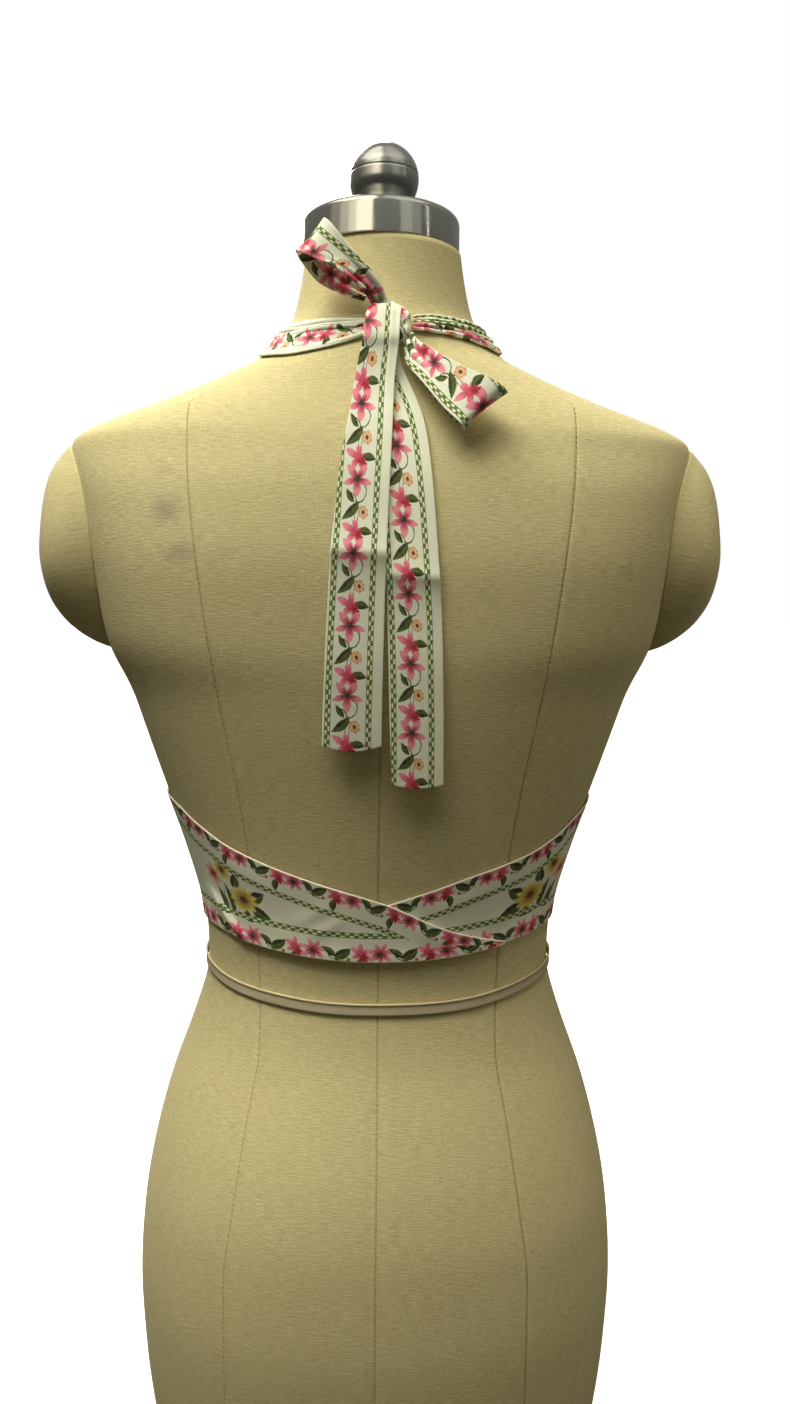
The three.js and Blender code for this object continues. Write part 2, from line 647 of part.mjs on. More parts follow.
// The knot: a rounded lump on the back of the neck.
function bowKnot() {
  const ROUND = 20;
  const RINGS = [0.55, 1];
  const DOME = [1, 0.93, 0.75, 0.4];
  const SQUARE = 0.7;
  const ring = (reach, raised) => steps(0, 360, ROUND).slice(0, ROUND).map((angle) => {
    const turn = radians(angle);
    const across = Math.sign(Math.cos(turn)) * Math.abs(Math.cos(turn)) ** SQUARE;
    const along = Math.sign(Math.sin(turn)) * Math.abs(Math.sin(turn)) ** SQUARE;
    const x = KNOT.x - KNOT.halfWidth * reach * across;
    const z = KNOT.z + KNOT.halfHeight * reach * along;
    const dome = raised ? KNOT.edge + (KNOT.rise - KNOT.edge) * Math.sqrt(1 - reach ** 3) : 0;
    return new THREE.Vector3(x, backDepth(x, z) + CLOTH_GAP + dome, z);
  });
  return loft([
    ...RINGS.map((reach) => ring(reach, false)),
    ...DOME.map((reach) => ring(reach, true)),
  ]);
}

function tail(rows) {
  const ACROSS = 3;
  const points = rows.flatMap((row) => steps(row.right, row.left, ACROSS).map((x) => (
    new THREE.Vector3(x, backDepth(x, row.z) + row.clear, row.z)
  )));
  return clothWall(points, sheetFaces(rows.length, ACROSS + 1), TIE_WALL);
}

// A bow loop: a band whose edges follow the table, smoothed along its length.
function bowLoop(rows, turned) {
  const ALONG = 22;
  const ACROSS = 3;
  const edge = (key) => new THREE.CatmullRomCurve3(
    rows.map((row) => new THREE.Vector3(...row[key])), false, 'centripetal',
  ).getPoints(ALONG);
  const upper = edge('upper');
  const lower = edge('lower');
  const points = upper.flatMap((point, i) => (
    steps(0, 1, ACROSS).map((share) => point.clone().lerp(lower[i], share))
  ));
  return clothWall(points, sheetFaces(upper.length, ACROSS + 1, turned), TIE_WALL);
}

// ---------------------------------------------------------------- assembly

const model = new THREE.Group();

function add(name, geometry, finishName) {
  const mesh = new THREE.Mesh(geometry, finish(finishName));
  mesh.name = name;
  model.add(mesh);
}

add('form_body', formBody(), 'linen');
add('form_shoulder_left', shoulderCap(false), 'linen');
add('form_shoulder_right', shoulderCap(true), 'linen');
add('form_waist_tape', waistTape(), 'tape');
add('form_neck_cap', neckCollar(), 'steel');
add('form_knob', knob(), 'steel');
add('front', frontPanel(), 'print');
add('wing_right', backWing(true, 0), 'print');
add('wing_left', backWing(false, CLOTH_WALL + SEAM_GAP), 'print');
add('strap_left', neckStrap(false), 'print');
add('strap_right', neckStrap(true), 'print');
add('bow_knot', bowKnot(), 'print');
add('bow_loop_upper', bowLoop(UPPER_LOOP, true), 'print');
add('bow_loop_lower', bowLoop(LOWER_LOOP, false), 'print');
add('tail_right', tail(RIGHT_TAIL), 'print');
add('tail_left', tail(LEFT_TAIL), 'print');

export default model;
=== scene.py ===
# %% [markdown]
# # A halter top tied at the nape, on its dress form
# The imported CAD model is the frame: it says where every piece is. This lesson dresses
# it. The form gets its linen, seams and steel, and the garment gets thin cloth with
# turned edges, folds, a printed border and a soft bow.
#
# Lengths in the tables are millimetres, because a dressmaker would measure so. Meshes
# are made in metres, so one function divides by a thousand.

# %% Load the frame
import math
import bpy
import numpy as np
from mathutils import Matrix, Vector


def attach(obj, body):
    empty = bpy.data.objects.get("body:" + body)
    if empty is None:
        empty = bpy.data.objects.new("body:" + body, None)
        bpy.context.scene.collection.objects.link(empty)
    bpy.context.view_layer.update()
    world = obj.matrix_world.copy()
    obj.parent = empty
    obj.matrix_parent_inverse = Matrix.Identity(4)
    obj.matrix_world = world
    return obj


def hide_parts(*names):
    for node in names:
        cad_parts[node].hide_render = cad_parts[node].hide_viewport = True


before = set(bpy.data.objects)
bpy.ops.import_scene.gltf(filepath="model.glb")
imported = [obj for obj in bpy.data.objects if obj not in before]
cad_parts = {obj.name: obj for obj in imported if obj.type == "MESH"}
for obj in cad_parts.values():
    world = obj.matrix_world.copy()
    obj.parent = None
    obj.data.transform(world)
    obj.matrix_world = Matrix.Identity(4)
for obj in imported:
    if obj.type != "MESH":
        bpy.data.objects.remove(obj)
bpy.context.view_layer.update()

# %% [markdown]
# ## Camera
# The top is seen from behind, from near by and a little below the shoulders, with the
# camera tipped down towards the waist. Near by matters: the hem and the waist tape
# curve down in the middle because of it.

# %% Camera
FRAME_LONG_SIDE = 1404
FOCAL = 1128                    # in the same unit as the long side
SENSOR = 36                     # mm
LEVEL_OFF_MIDDLE, AHEAD_OFF_MIDDLE = 92, 15             # in that unit too
TILT_DOWN = math.atan(LEVEL_OFF_MIDDLE / FOCAL)
TURN_ASIDE = math.atan(AHEAD_OFF_MIDDLE / FOCAL)
ROLL = math.radians(0.5)
AXIS_Y = 0.53                   # the form's upright axis, mm behind the origin
CAMERA_BACK, CAMERA_UP = 0.800, 0.630                   # metres

camera_data = bpy.data.cameras.new("camera")
camera_data.sensor_fit = "AUTO"
camera_data.sensor_width = SENSOR
camera_data.lens = SENSOR * FOCAL / FRAME_LONG_SIDE
camera = bpy.data.objects.new("camera", camera_data)
bpy.context.scene.collection.objects.link(camera)
bpy.context.scene.camera = camera
level = Vector((-math.sin(TURN_ASIDE), -math.cos(TURN_ASIDE), 0))
right = Vector((-math.cos(TURN_ASIDE), math.sin(TURN_ASIDE), 0))
ahead = level * math.cos(TILT_DOWN) - Vector((0, 0, math.sin(TILT_DOWN)))
up = level * math.sin(TILT_DOWN) + Vector((0, 0, math.cos(TILT_DOWN)))
across = right * math.cos(ROLL) + up * math.sin(ROLL)
above = up * math.cos(ROLL) - right * math.sin(ROLL)
turn = Matrix((across, above, -ahead)).transposed().to_4x4()
camera.matrix_world = Matrix.Translation((0, AXIS_Y / 1000 + CAMERA_BACK, CAMERA_UP)) @ turn
print("camera lens", round(camera_data.lens, 2), "mm")

# %% [markdown]
# ## Colours and nodes
# Paint and cloth colours are written as sRGB hex values, as a colour card gives them,
# and shaders work in linear light, so one function turns the first into the second.
# One more small function adds a node, sets it and joins its inputs. Everything else
# is said in the material itself.

# %% Helpers for colours and nodes
def linear(hex_colour):
    channels = [int(hex_colour[i:i + 2], 16) / 255 for i in (1, 3, 5)]
    curve = [c / 12.92 if c <= 0.04045 else ((c + 0.055) / 1.055) ** 2.4 for c in channels]
    return (*curve, 1)


def add(tree, kind, *inputs, at=None, **settings):
    """A node of that kind. inputs fill its sockets in order, at={socket: value} the
    others, and a value is a number, a vector, a colour or another node's output."""
    made = tree.nodes.new(kind)
    for name, value in settings.items():
        setattr(made, name, value)
    for key, value in [*enumerate(inputs), *(at or {}).items()]:
        if isinstance(value, bpy.types.NodeSocket):
            tree.links.new(value, made.inputs[key])
        elif value is not None:
            made.inputs[key].default_value = value
    return made.outputs


def material(name):
    made = bpy.data.materials.new(name)
    made.use_nodes = True
    made.node_tree.nodes.clear()
    return made, made.node_tree

# %% [markdown]
# ## Studio
# A pale floor and soft light from high above, as from a skylight. It grazes the back:
# the shoulders and hips glow, and the small of the back, which leans away, stays in
# shade. Weaker lamps open that shade from the side and from behind, and a large one
# lights the front. A row of tall panels and two ceilings light only what is glossy: the
# polished collar needs something to mirror, and a panel's sharp edge is what draws a
# crisp stripe on it.

# %% Floor
FLOOR_RADIUS, FLOOR_SIDES = 40, 128
FLOOR_GLOW = 0.75               # keeps the floor as pale as the wall behind it


def floor_material():
    made, tree = material("pale_studio_floor")
    grain = add(tree, "ShaderNodeTexNoise", at={"Scale": 3.0, "Detail": 4.0})
    tone = add(tree, "ShaderNodeMix", at={
        0: grain["Fac"], 6: linear("#F4F2EE"), 7: linear("#EFEDE8")}, data_type="RGBA")[2]
    shader = add(tree, "ShaderNodeBsdfPrincipled", at={
        "Base Color": tone, "Roughness": 0.9, "Emission Color": tone,
        "Emission Strength": FLOOR_GLOW})
    add(tree, "ShaderNodeOutputMaterial", shader[0])
    return made


floor_mesh = bpy.data.meshes.new("studio_floor")
turns = np.linspace(0, 2 * math.pi, FLOOR_SIDES + 1)[:-1]
rim = [(FLOOR_RADIUS * math.cos(a), FLOOR_RADIUS * math.sin(a), 0) for a in turns]
floor_mesh.from_pydata(rim, [], [tuple(range(len(rim)))])
floor_mesh.materials.append(floor_material())
floor = bpy.data.objects.new("studio_floor", floor_mesh)
bpy.context.scene.collection.objects.link(floor)
floor.visible_diffuse = False       # a pale floor would light the form from below
floor.visible_glossy = False        # and show in the steel
print("floor", 2 * FLOOR_RADIUS, "m across")

# %% Panels
# The tall panels all look level at the axis: place x and y, width, watts and colour.
TALL_UP, TALL_HEIGHT = 3.5, 5.0
TALL_PANELS = {
    "window": (0.90, 2.15, 0.96, 31, "#FFF6DC"),
    "window edge": (1.49, 1.79, 0.45, 9.0, "#FFF6DC"),
    "blind": (1.84, 1.43, 0.56, 6.2, "#FFF6DC"),
    "curtain": (2.14, 0.91, 0.66, 2.6, "#FFF6DC"),
    "wall": (-0.34, 2.3, 1.6, 2.6, "#ECEAD8"),
    "card": (-1.37, 1.88, 0.67, 6.4, "#D8DCCB"),
    "far card": (-1.82, 1.45, 0.61, 3.2, "#D8DCCB"),
    "slit": (-2.2, 0.8, 0.035, 2.6, "#FFFFFF"),
}
# Every panel: place, what it looks at, width and height in metres, watts, colour, what
# it lights (the steel, what is matt, or both) and the degrees that its light spreads.
WIDE = 180
PANELS = {
    name: ((x, y, TALL_UP), (0.0, 0.0, TALL_UP), (width, TALL_HEIGHT), watts, colour,
           "steel", WIDE)
    for name, (x, y, width, watts, colour) in TALL_PANELS.items()}
PANELS.update({
    "ceiling": ((1.75, 0.7, 4.2), (1.75, 0.7, 0.0), (3.1, 2.8), 48, "#FFFCEA", "steel", WIDE),
    "far ceiling": ((-1.6, 0.7, 4.2), (-1.6, 0.7, 0.0), (2.9, 2.8), 15, "#F2F2E6", "steel",
                    WIDE),
    "lamp": ((0.34, 0.28, 1.5), (0.0, 0.1, 0.6), (0.5, 0.5), 6.3, "#FFFAEA", "matt", WIDE),
    "side": ((-2.0, 0.2, 1.3), (0.0, 0.0, 0.6), (0.9, 0.9), 6.6, "#FFF6E0", "matt", WIDE),
    "low": ((0.50, 0.50, 1.5), (0.07, 0.12, 0.27), (0.08, 0.08), 0.05, "#FFF8E4", "matt", 17),
    "behind": ((0.0, 2.2, 1.3), (0.0, 0.1, 0.6), (0.9, 0.9), 0.9, "#FFF2D0", "matt", WIDE),
    "front": ((0.7, -2.3, 2.4), (0.0, 0.0, 0.62), (1.6, 1.6), 60, "#FFF6E6", "both", WIDE),
})
print("panels:", ", ".join(PANELS))

# %% Aiming a lamp
def aim(lamp, place, target):
    bpy.context.scene.collection.objects.link(lamp)
    lamp.location = place
    lamp.rotation_mode = "QUATERNION"
    lamp.rotation_quaternion = (Vector(target) - Vector(place)).to_track_quat("-Z", "Y")
    lamp.visible_camera = False

# %% Lamps
for name, (place, target, size, watts, colour, lights, spread_by) in PANELS.items():
    lamp_data = bpy.data.lights.new(name, "AREA")
    lamp_data.shape = "RECTANGLE"
    lamp_data.size, lamp_data.size_y = size
    lamp_data.energy = watts
    lamp_data.color = linear(colour)[:3]
    lamp_data.spread = math.radians(spread_by)
    lamp = bpy.data.objects.new(name, lamp_data)
    aim(lamp, place, target)
    lamp.visible_diffuse = lights != "steel"
    lamp.visible_glossy = lights != "matt"
print(len(PANELS), "lamps")

# %% Skylight and surroundings
SKY_STRENGTH, SKY_SOFTNESS, SKY_FROM = 2.85, math.radians(55), (0.15, 0.20, 1.0)
AMBIENT_STRENGTH = 0.066
sun_data = bpy.data.lights.new("skylight", "SUN")
sun_data.energy = SKY_STRENGTH
sun_data.angle = SKY_SOFTNESS
sun_data.color = linear("#FFF8E4")[:3]
skylight = bpy.data.objects.new("skylight", sun_data)
aim(skylight, SKY_FROM, (0, 0, 0))
skylight.visible_glossy = False

world = bpy.data.worlds.new("studio")
bpy.context.scene.world = world
world.use_nodes = True
sky = world.node_tree
sky.nodes.clear()
seen = add(sky, "ShaderNodeLightPath")
height = add(sky, "ShaderNodeSeparateXYZ", add(sky, "ShaderNodeTexCoord")["Generated"])["Z"]
glow = add(sky, "ShaderNodeMapRange", height, -0.2, 0.9, 0.09, 0.42)[0]
backdrop = add(sky, "ShaderNodeBackground", linear("#FFFFFF"), 1.0)[0]
mirrored = add(sky, "ShaderNodeBackground", linear("#F4F3E8"), glow)[0]
ambient = add(sky, "ShaderNodeBackground", linear("#FFEFC8"), AMBIENT_STRENGTH)[0]
ambient = add(sky, "ShaderNodeMixShader", seen["Is Glossy Ray"], ambient, mirrored)[0]
add(sky, "ShaderNodeOutputWorld",
    add(sky, "ShaderNodeMixShader", seen["Is Camera Ray"], ambient, backdrop)[0])
bpy.context.scene.view_settings.view_transform = "Standard"
print("skylight", SKY_STRENGTH, "and ambient light", AMBIENT_STRENGTH)

# %% [markdown]
# ## The form's surface
# Everything lies on the form, so its shape is worked out once. Level sections are
# superellipses: half width, depth behind and before the axis, and how square each
# half is. A smooth curve that never overshoots joins them, and the bust is added on
# top. An angle of 0 is the wearer's left side, 90 the centre back and -90 the front.

# %% Tables and smooth curves
def table(names, text):
    rows = [[float(word) for word in line.split()] for line in text.strip().splitlines()]
    return dict(zip(names.split(), np.array(rows).T))


def curve(x, y):
    """A smooth function through the points that never overshoots them."""
    order = np.argsort(x)
    x, y = np.asarray(x, float)[order], np.asarray(y, float)[order]
    slope = np.diff(y) / np.diff(x)
    before, after = np.append(slope[0], slope), np.append(slope, slope[-1])
    same_way = before * after > 0
    tangent = np.where(same_way, 2 * before * after / np.where(same_way, before + after, 1), 0)

    def at(place):
        place = np.clip(np.asarray(place, float), x[0], x[-1])
        i = np.clip(np.searchsorted(x, place, "right") - 1, 0, len(x) - 2)
        step = x[i + 1] - x[i]
        f = (place - x[i]) / step
        near = (1 + 2 * f) * (1 - f) ** 2 * y[i] + f * (1 - f) ** 2 * step * tangent[i]
        far = f * f * (3 - 2 * f) * y[i + 1] + f * f * (f - 1) * step * tangent[i + 1]
        return near + far
    return at


def curves(rows):
    """A smooth function for every later column of a table, against its first."""
    x, *others = rows.values()
    return [curve(x, y) for y in others]

# %% Sections of the form
SECTIONS = table("z side back front square_back square_front", """
    0    149   108   95   2.3  2.3
    60   160   120   99   2.3  2.3
    110  166   128   102  2.3  2.3
    165  168.8 132   104  2.3  2.3
    215  165.5 131   105  2.3  2.3
    257  158.5 126   103  2.25 2.25
    300  147   115.5 99   2.2  2.2
    347  130   101.5 93   2.15 2.15
    384  120.5 96    90   2.15 2.15
    421  122.5 98    92   2.15 2.15
    465  133.8 104   96   2.2  2.2
    510  149.5 110   99   2.3  2.3
    552  163.5 116   100  2.4  2.4
    580  172.8 119   100  2.5  2.5
    602  184.5 120.5 99   2.7  2.6
    650  195.5 119.5 96   2.8  2.7
    700  206.5 111.5 88   2.6  2.6
    733  213.5 101.5 79   2.25 2.5
    743  212   97.5  75   2.2  2.4
    750  202   94.5  71   2.15 2.4
    757  185   91.2  67   2.15 2.35
    764  165.5 88    63   2.15 2.3
    771  147   84.8  60   2.1  2.2
    785  113.5 78.5  55   2.1  2.1
    799  86    72    51   2    2
    813  72    66    48   2    2
    828  62    60.5  49   2    2
    850  56.4  56    52   2    2
    872  53.0  53    54   2    2""")


def eased(shape):
    """The curve averaged over a few heights, because a padded form has no corners.
    The shoulder line is averaged over less."""
    def at(z):
        z = np.asarray(z, float)
        reach = 9 - 7 * np.clip((z - 690) / 40, 0, 1)
        total = sum(weight * shape(z + step * reach) for step, weight in EASING)
        return total / sum(weight for step, weight in EASING)
    return at


EASING = [(step, math.exp(-step * step / 2)) for step in np.linspace(-2, 2, 9)]
side, back, front, square_back, square_front = map(eased, curves(SECTIONS))
NECK_TOP = 872
FORM_CUPS = dict(x=86, z=556, rise=34, wide=58, above=72, below=44, span=0)
CLOTH_CUPS = dict(x=86, z=556, rise=35, wide=60, above=74, below=62, span=0.8)
print(len(SECTIONS["z"]), "sections, neck top at", NECK_TOP, "mm")

# %% Points on the form and just off it
def cup_rise(x, z, cups):
    height = (z - cups["z"]) / np.where(z > cups["z"], cups["above"], cups["below"])
    bump = (np.exp(-((abs(x) - cups["x"]) / cups["wide"]) ** 2)
            + np.exp(-((abs(x) + cups["x"]) / cups["wide"]) ** 2))
    bump = np.where(abs(x) < cups["x"], bump + (1 - bump) * cups["span"], bump)
    return cups["rise"] * np.exp(-height ** 2) * bump


def surface(angle, z, cups):
    turn = np.radians(angle)
    behind = np.sin(turn) >= 0
    power = 2 / np.where(behind, square_back(z), square_front(z))
    x = side(z) * np.sign(np.cos(turn)) * abs(np.cos(turn)) ** power
    reach = abs(np.sin(turn)) ** power
    bust = cup_rise(x, z, cups) * abs(np.sin(turn))
    y = np.where(behind, back(z) * reach, -front(z) * reach - bust)
    return np.stack([x, y, z + 0 * x], -1)


def on_form(angle, z, out=0.0, cups=FORM_CUPS):
    """The point at that angle and height, moved out square to the surface."""
    angle, z = np.broadcast_arrays(np.asarray(angle, float), np.asarray(z, float))
    around = surface(angle + 1, z, cups) - surface(angle - 1, z, cups)
    upward = (surface(angle, np.minimum(z + 1, NECK_TOP), cups)
              - surface(angle, np.maximum(z - 1, 0), cups))
    normal = np.cross(around, upward)
    normal /= np.linalg.norm(normal, axis=-1, keepdims=True)
    return surface(angle, z, cups) + normal * np.asarray(out)[..., None]


def angle_at(x, z, face):
    """The angle at which the level section reaches x: face 1 is behind, -1 in front."""
    square = square_back(z) if face > 0 else square_front(z)
    share = np.minimum(abs(x) / side(z), 1)
    angle = np.degrees(np.arccos(share ** (square / 2)))
    return face * np.where(np.asarray(x) < 0, 180 - angle, angle)


def back_depth(x, z):
    return back(z) * (1 - (abs(x) / side(z)) ** square_back(z)) ** (1 / square_back(z))


print("the back's middle at the waist is", round(float(on_form(90, 384)[1]), 1), "mm back")

# %% [markdown]
# ## From a grid of points to a piece
# Most pieces are grids: rows of points that run along the piece. A closed grid joins
# its last column to its first. A cloth grid gets a wall as well, whose thickness
# rounds off at the edges, because a turned and pressed edge is a fold and not a cut.
# Each piece carries its own maps, in millimetres, for its pattern to follow.

# %% Meshes from grids
def quads(rows, columns, closed=False):
    row, column = np.mgrid[0:rows - 1, 0:columns if closed else columns - 1]
    a = row * columns + column
    b = row * columns + (column + 1) % columns
    return np.stack([a, b, b + columns, a + columns], -1).reshape(-1, 4)


def closed_tube(rows, columns):
    """Faces of a grid that closes round, with one face over each end."""
    last = rows * columns
    return [*quads(rows, columns, closed=True), tuple(range(columns))[::-1],
            tuple(range(last - columns, last))]


def make_mesh(name, points, faces, maps=None, smooth=True):
    """A mesh from points in millimetres. maps gives each vertex's place in a UV map."""
    mesh = bpy.data.meshes.new(name)
    points = np.asarray(points, float).reshape(-1, 3) + (0, AXIS_Y, 0)
    mesh.from_pydata((points / 1000).tolist(), [], [tuple(map(int, face)) for face in faces])
    loops = np.empty(len(mesh.loops), int)
    mesh.loops.foreach_get("vertex_index", loops)
    for map_name, places in (maps or {}).items():
        layer = mesh.uv_layers.new(name=map_name)
        layer.data.foreach_set("uv", np.asarray(places, float).reshape(-1, 2)[loops].ravel())
    mesh.polygons.foreach_set("use_smooth", [smooth] * len(mesh.polygons))
    mesh.validate()
    piece = bpy.data.objects.new(name, mesh)
    bpy.context.scene.collection.objects.link(piece)
    return piece

# %% Handing a piece over
def hand_over(piece, made, slot, *nodes):
    """The piece's material, body and the CAD nodes it stands for. slot is not used."""
    piece.data.materials.clear()
    piece.data.materials.append(made)
    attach(piece, "root")
    if nodes:
        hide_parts(*nodes)
    count = sum(len(face.vertices) - 2 for face in piece.data.polygons)
    print(f"{piece.name}: {count} triangles")
    return piece


def run_length(points, axis):
    """Distance run along a grid's rows or columns."""
    step = np.linalg.norm(np.diff(points, axis=axis), axis=-1)
    first = np.zeros_like(np.take(step, [0], axis=axis))
    return np.concatenate([first, np.cumsum(step, axis=axis)], axis=axis)

# %% [markdown]
# ## The form's linen cover
# A dress form is padded and covered in tightly sewn panels, so its seams are thin
# grooves where the cover is pulled in, with the cloth a little full beside them. The
# grid's columns follow the seams from hem to shoulder, and crowd together beside
# them, so that a groove one millimetre wide is real shape.

# %% Seams of the cover
# How far each princess seam stands from the middle, behind and in front.
BACK_SEAM = table("z x", """
    0    96
    200  97
    245  92
    300  84
    347  77
    400  78
    467  83
    512  89
    580  101
    626  108
    668  114
    717  120
    762  123""")
FRONT_SEAM = table("z x", """
    0    86
    200  82
    300  75
    384  69
    467  77
    556  86
    700  99
    762  108""")
SEAM_TOP = 762
print("seams behind and in front, charted at", len(BACK_SEAM["z"]), "and",
      len(FRONT_SEAM["z"]), "heights")

# %% Columns that follow the seams
PANEL_STEPS = np.array([0, 0.5, 1.1, 2, 3.6, 6])       # mm beside a seam
PANEL_WIDTH = 100                                       # a usual panel, for the steps
PANEL_MIDDLE = 18


def seam_angles(z):
    """The angles of the cover's eight seams at a height, from centre front round."""
    low = np.minimum(z, SEAM_TOP)
    behind = angle_at(curve(BACK_SEAM["z"], BACK_SEAM["x"])(low), low, 1)
    before = angle_at(curve(FRONT_SEAM["z"], FRONT_SEAM["x"])(low), low, -1)
    return np.stack([-90 + 0 * z, before, 0 * z, behind, 90 + 0 * z,
                     180 - behind, 180 + 0 * z, 180 - before, 270 + 0 * z], -1)


def cover_grid():
    heights = np.unique(np.concatenate([
        np.arange(0, 735, 4.2), np.arange(735, 836, 2.0), np.linspace(836, NECK_TOP, 11)]))
    beside = PANEL_STEPS / PANEL_WIDTH
    share = np.unique(np.concatenate([
        beside, np.linspace(beside[-1], 1 - beside[-1], PANEL_MIDDLE), 1 - beside]))[:-1]
    seams = seam_angles(heights)
    angles = np.concatenate([
        seams[:, [i]] + share * (seams[:, [i + 1]] - seams[:, [i]]) for i in range(8)], 1)
    return heights, angles, len(share)

# %% The cover
heights, angles, panel_columns = cover_grid()
cover = on_form(angles, heights[:, None])
closed = np.concatenate([cover, cover[:, :1]], 1)
run = run_length(closed, 1)
seam_columns = np.arange(9) * panel_columns
nearest = run[:, :-1, None] - run[:, None, seam_columns]
pick = np.argmin(abs(nearest), -1)
beside_seam = np.take_along_axis(nearest, pick[..., None], -1)[..., 0]
along_shoulder = pick % 4 == 2
SEAM_FADE = 14                  # mm over which the other seams end below the shoulder
fading = np.clip((SEAM_TOP + SEAM_FADE - heights[:, None]) / SEAM_FADE, 0, 1)
ending = np.where(along_shoulder, 1.0, fading)
groove = (-0.5 * np.exp(-(beside_seam / 0.5) ** 2)
          + 0.2 * np.exp(-((abs(beside_seam) - 4) / 3) ** 2))
cover = on_form(angles, heights[:, None], groove * ending)
middle = run[:, [4 * panel_columns]]
level, NO_SEAM = heights[:, None] + 0 * angles, 50
maps = {
    "cloth": np.stack([run[:, :-1] - middle, level], -1),
    "seam": np.stack([np.where(ending > 0.5, beside_seam, NO_SEAM), level], -1),
}
form_cover = make_mesh("form_linen_cover", cover, closed_tube(*angles.shape), maps)
print("cover grid", angles.shape)

# %% [markdown]
# Linen is woven from uneven yarn. Its slubs lie along the weft, so the cloth has fine
# level streaks, with a fainter upright set. The yarns are half a millimetre apart, and
# the streaks are drawn a little wider, 0.7 mm by 7 mm, so that they show. It is a dry,
# matt, straw-coloured cloth. Use has left a few grey marks, drawn as soft patches that
# the weave breaks up, and each stitch draws the seams in a little darker.

# %% Colours and marks of the linen
LINEN, LINEN_LIGHT, LINEN_SHADE = "#CFC693", "#DFD6A7", "#B6AC7D"
LINEN_MARK, LINEN_SEAM = "#8C8078", "#5C5230"
MARK_Y, MARK_DEEP = 0.11, 0.1   # metres: marks lie on the back and not on the front
BODY_MARKS = table("x z radius wide strength", """
    133  690  15  1.1 0.50
    123  664  11  1.7 0.42
    136  715  9   1.2 0.18
    183  658  9   1.2 0.30
    94   664  7   1.4 0.15
    -152 655  9   1.3 0.14
    -60  640  12  1.5 0.10
    70   330  14  1.6 0.08""")
CAP_MARKS = table("x z radius wide strength", """
    202  681  12  1.0 0.28""")
STITCH_PITCH = 3.3              # mm from stitch to stitch
print(len(BODY_MARKS["x"]), "marks on the body")

# %% Linen
def linen(name, marks, seamed):
    made, tree = material(name)
    place = add(tree, "ShaderNodeUVMap", uv_map="cloth")[0]
    weft = add(tree, "ShaderNodeMapping", place, (0, 0, 0), (0, 0, 0), (0.14, 1.35, 1))[0]
    warp = add(tree, "ShaderNodeMapping", place, (0, 0, 0), (0, 0, 0), (1.35, 0.16, 1))[0]
    slub = add(tree, "ShaderNodeTexNoise", at={
        "Vector": weft, "Scale": 1.0, "Detail": 3.0, "Roughness": 0.65})["Fac"]
    upright = add(tree, "ShaderNodeTexNoise", at={
        "Vector": warp, "Scale": 1.0, "Detail": 2.0, "Roughness": 0.6})["Fac"]
    cloudy = add(tree, "ShaderNodeTexNoise", at={
        "Vector": place, "Scale": 0.018, "Detail": 3.0})["Fac"]
    yarns = add(tree, "ShaderNodeMath", slub, add(
        tree, "ShaderNodeMath", upright, 0.35, operation="MULTIPLY")[0], operation="ADD")[0]
    tone = add(tree, "ShaderNodeMapRange", yarns, 0.47, 0.88, 0.0, 1.0)[0]
    colour = add(tree, "ShaderNodeMix", at={
        0: tone, 6: linear(LINEN_SHADE), 7: linear(LINEN_LIGHT)}, data_type="RGBA")[2]
    wear = add(tree, "ShaderNodeMapRange", cloudy, 0.35, 0.7, 0.0, 0.4)[0]
    colour = add(tree, "ShaderNodeMix", at={0: wear, 6: colour, 7: linear(LINEN)},
                 data_type="RGBA")[2]
    where = add(tree, "ShaderNodeTexCoord")["Object"]
    for x, z, radius, wide, strength in zip(*marks.values()):
        patch = add(tree, "ShaderNodeMapping", where, (
            x / 1000, MARK_Y, z / 1000), (0, 0, 0), (
            radius * wide / 1000, MARK_DEEP, radius / 1000), vector_type="TEXTURE")[0]
        reach = add(tree, "ShaderNodeVectorMath", patch, operation="LENGTH")["Value"]
        ragged = add(tree, "ShaderNodeMath", reach, add(
            tree, "ShaderNodeMath", slub, 0.9, operation="MULTIPLY")[0], operation="ADD")[0]
        soft = add(tree, "ShaderNodeMapRange", ragged, 0.55, 1.35, strength, 0.0,
                   interpolation_type="SMOOTHSTEP")[0]
        colour = add(tree, "ShaderNodeMix", at={
            0: soft, 6: colour, 7: linear(LINEN_MARK)}, data_type="RGBA")[2]
    if seamed:
        seam = add(tree, "ShaderNodeSeparateXYZ",
                   add(tree, "ShaderNodeUVMap", uv_map="seam")[0])
        gap = add(tree, "ShaderNodeMath", seam["X"], operation="ABSOLUTE")[0]
        along = add(tree, "ShaderNodeMath", seam["Y"], 2 * math.pi / STITCH_PITCH,
                    operation="MULTIPLY")[0]
        pulled = add(tree, "ShaderNodeMath", along, operation="SINE")[0]
        pulled = add(tree, "ShaderNodeMapRange", pulled, -1.0, 1.0, 0.08, 0.55)[0]
        dark = add(tree, "ShaderNodeMapRange", gap, 0.1, 0.8, pulled, 0.0)[0]
        colour = add(tree, "ShaderNodeMix", at={
            0: dark, 6: colour, 7: linear(LINEN_SEAM)}, data_type="RGBA")[2]
    bump = add(tree, "ShaderNodeBump", at={
        "Strength": 0.7, "Distance": 0.00035, "Height": yarns})[0]
    shader = add(tree, "ShaderNodeBsdfPrincipled", at={
        "Base Color": colour, "Roughness": 0.92, "IOR": 1.45, "Specular IOR Level": 0.25,
        "Sheen Weight": 0.08, "Sheen Roughness": 0.5, "Normal": bump})[0]
    add(tree, "ShaderNodeOutputMaterial", shader)
    return made


